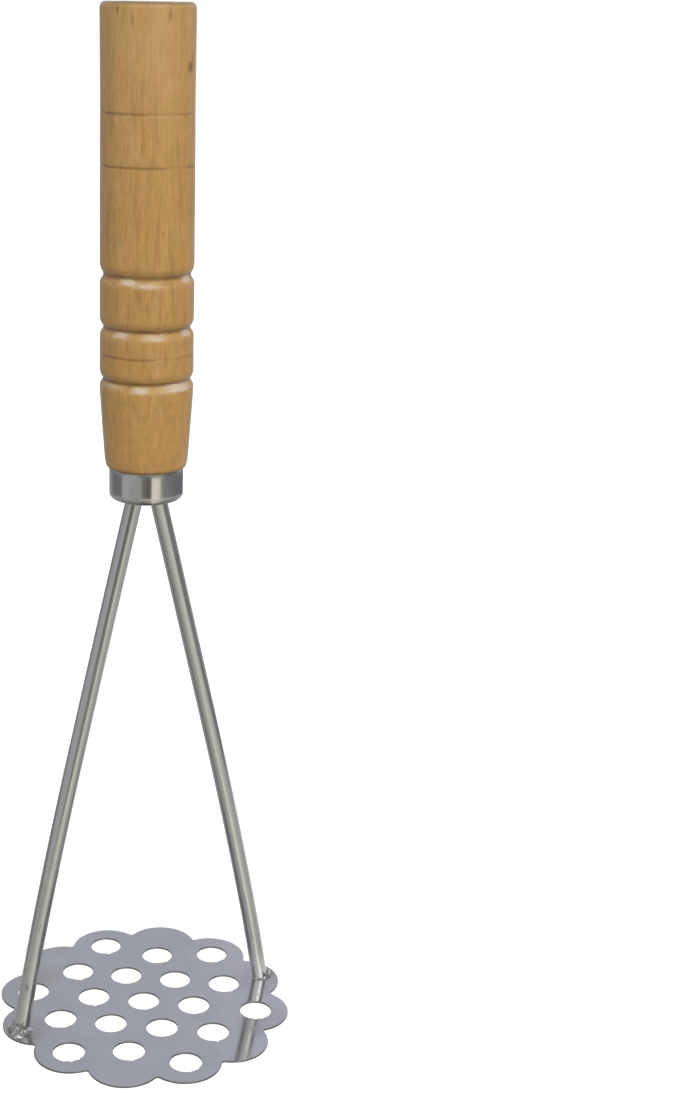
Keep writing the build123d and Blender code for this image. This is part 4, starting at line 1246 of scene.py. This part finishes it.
def make_world():
    """Uniform soft light, and for mirror reflections a plain room: darker and lighter walls round the masher."""
    world = bpy.data.worlds.new("studio")
    scene.world = world
    world.use_nodes = True
    tree = world.node_tree
    tree.nodes.clear()
    n = Nodes.__new__(Nodes)
    n.tree = tree
    out = tree.nodes.new("ShaderNodeOutputWorld")
    coords = tree.nodes.new("ShaderNodeTexCoord")
    direction = coords.outputs["Generated"]
    x, y, z = n.xyz(direction)
    # azimuth from the camera's side, -1 to 1 for -180 to 180 degrees, positive to the camera's right
    c, s = math.cos(FACING), math.sin(FACING)
    forward = n.math("ADD", n.math("MULTIPLY", x, c), n.math("MULTIPLY", y, s))
    right = n.math("ADD", n.math("MULTIPLY", x, -s), n.math("MULTIPLY", y, c))
    alpha = n.math("DIVIDE", n.math("ARCTAN2", right, forward), math.pi)
    elev = n.math("DIVIDE", n.math("ARCSINE", z), math.pi / 2)          # -1 to 1
    a01 = n.remap(alpha, -1.0, 1.0)

    def at(degrees):
        return (degrees + 180.0) / 360.0

    F0 = 0.66

    def shade(g):
        """Radiance that shows as this 8-bit colour in the steel."""
        g = (g, g, g) if isinstance(g, (int, float)) else g
        return tuple(c / F0 for c in srgb(*g))

    def ring(*stops):
        return n.ramp(a01, [(at(d), shade(g)) for d, g in stops])

    # walls, seen in the ferrule
    walls = ring((-180, (118, 119, 124)), (-150, 136), (-140, 126), (-118, 96), (-92, 102), (-82, 112), (-76, 152), (-60, 148), (-50, 137),
                 (-24, 136), (-14, 130), (-9, (88, 79, 76)), (14, (74, 66, 64)), (19, (198, 192, 180)), (30, (214, 207, 194)), (43, (196, 190, 178)),
                 (50, (126, 125, 121)), (60, 115), (89, 98), (116, 93), (138, (94, 96, 108)), (160, (100, 102, 112)), (180, (118, 119, 124)))
    # near the horizon: lavender-grey walls to the left, a dark doorway straight ahead, dark walls to the right
    high = ring((-180, 132), (-130, 116), (-112, 122), (-92, (148, 149, 152)), (-63, (148, 149, 154)), (-38, (153, 153, 158)), (-27, (146, 145, 147)),
                (-19, (98, 95, 92)), (8, (92, 90, 86)), (15, (112, 111, 106)), (30, (140, 140, 132)), (45, (146, 146, 138)), (60, 120), (72, 102),
                (94, 106), (112, 112), (131, 132), (180, 132))
    # a little lower the room is plainer and neutral
    plain = ring((-180, 134), (-128, 114), (-108, 112), (-88, 122), (-62, (152, 152, 148)), (-39, (153, 153, 149)), (-22, 149), (-12, (126, 125, 120)),
                 (3, (122, 121, 115)), (15, (138, 138, 130)), (45, (148, 148, 140)), (60, 116), (72, 105), (94, 112), (112, 128), (131, 158), (180, 134))
    # the table below, seen in the legs: first its far part, then its near part
    far = ring((-180, 140), (-130, 137), (-89, 138), (-62, 145), (-38, (150, 150, 145)), (-17, (162, 162, 155)), (4, (172, 173, 165)),
               (20, (184, 185, 177)), (43, (174, 175, 167)), (66, 159), (83, 152), (94, 150), (112, 162), (128, 184), (150, 168), (180, 140))
    near = ring((-180, 144), (-133, 150), (-108, 122), (-89, 112), (-72, 120), (-55, 131), (-27, (146, 147, 140)), (1, (166, 167, 158)),
                (14, (208, 209, 201)), (27, (208, 209, 201)), (39, (168, 169, 162)), (53, 138), (66, 131), (83, 128), (104, 128), (128, 138), (150, 148), (180, 144))
    # straight below: the dull foot of the room, seen only in rounded corners
    under = ring((-180, (112, 108, 104)), (-60, (118, 115, 110)), (0, (96, 90, 86)), (60, (122, 119, 114)), (180, (112, 108, 104)))
    colour = n.mix(n.remap(elev, -0.128, -0.100, smooth=True), plain, high)
    colour = n.mix(n.remap(elev, -0.166, -0.156, smooth=True), walls, colour)
    colour = n.mix(n.remap(elev, -0.186, -0.198, smooth=True), colour, far)
    colour = n.mix(n.remap(elev, -0.322, -0.378, smooth=True), colour, near)
    colour = n.mix(n.remap(elev, -0.540, -0.640, smooth=True), colour, under)
    # above: a lavender-grey wall behind, a bright lamp and a lighter wall in front, dark sides and a dim ceiling
    level = n.ramp(n.remap(n.math("ABSOLUTE", alpha), 0.0, 1.0), [(0.0, (0.66, 0.66, 0.67)), (0.26, (0.60, 0.60, 0.61)), (0.38, (0.20, 0.20, 0.21)),
                                                              (0.60, (0.22, 0.22, 0.23)), (0.74, (0.470, 0.478, 0.535)), (1.0, (0.470, 0.478, 0.535))])
    level = n.mix(n.remap(elev, 0.46, 0.66, smooth=True), level, (0.36, 0.36, 0.38))
    lamp = n.math("MULTIPLY", n.band(n.math("MULTIPLY", alpha, 180.0), 28.0, 12.0, 12.0), n.band(elev, 0.34, 0.10, 0.10))
    level = n.mix(lamp, level, (1.26, 1.26, 1.23))
    colour = n.mix(n.remap(elev, -0.01, 0.08, smooth=True), colour, level)

    path = tree.nodes.new("ShaderNodeLightPath")
    shiny = tree.nodes.new("ShaderNodeBackground")
    n.link(colour, shiny.inputs["Color"])
    shiny.inputs["Strength"].default_value = 1.0
    soft = tree.nodes.new("ShaderNodeBackground")
    n.link(n.ramp(n.remap(elev, -0.5, 0.5), [(0.0, 0.50), (0.35, 0.44), (0.65, 0.28), (1.0, 0.24)]), soft.inputs["Color"])
    soft.inputs["Strength"].default_value = 1.0
    white = tree.nodes.new("ShaderNodeBackground")
    white.inputs["Color"].default_value = (1, 1, 1, 1)
    white.inputs["Strength"].default_value = 1.0
    mix1 = tree.nodes.new("ShaderNodeMixShader")
    n.link(path.outputs["Is Glossy Ray"], mix1.inputs[0])
    n.link(soft.outputs[0], mix1.inputs[1])
    n.link(shiny.outputs[0], mix1.inputs[2])
    mix2 = tree.nodes.new("ShaderNodeMixShader")
    n.link(path.outputs["Is Camera Ray"], mix2.inputs[0])
    n.link(mix1.outputs[0], mix2.inputs[1])
    n.link(white.outputs[0], mix2.inputs[2])
    n.link(mix2.outputs[0], out.inputs["Surface"])


make_world()

camera_data = bpy.data.cameras.new("camera")
camera_data.sensor_width = 36.0
camera_data.sensor_fit = "AUTO"
camera_data.lens = 1737.8 * 36.0 / 1093.0
# the masher stands in the left part of the frame, yet upright, so the frame is shifted sideways and not turned
camera_data.shift_x = (340.0 - 210.0) / 1093.0
camera_data.clip_start, camera_data.clip_end = 0.01, 60.0
camera = bpy.data.objects.new("camera", camera_data)
right = Vector((0.921847, -0.387236, 0.015702)).normalized()
forward = Vector((0.373246, 0.876177, -0.304962))
forward = (forward - right * forward.dot(right)).normalized()
up = right.cross(forward)
camera.matrix_world = Matrix((
    (right.x, up.x, -forward.x, -0.166769),
    (right.y, up.y, -forward.y, -0.437792),
    (right.z, up.z, -forward.z, 0.298025),
    (0, 0, 0, 1),
))
scene.collection.objects.link(camera)
scene.camera = camera
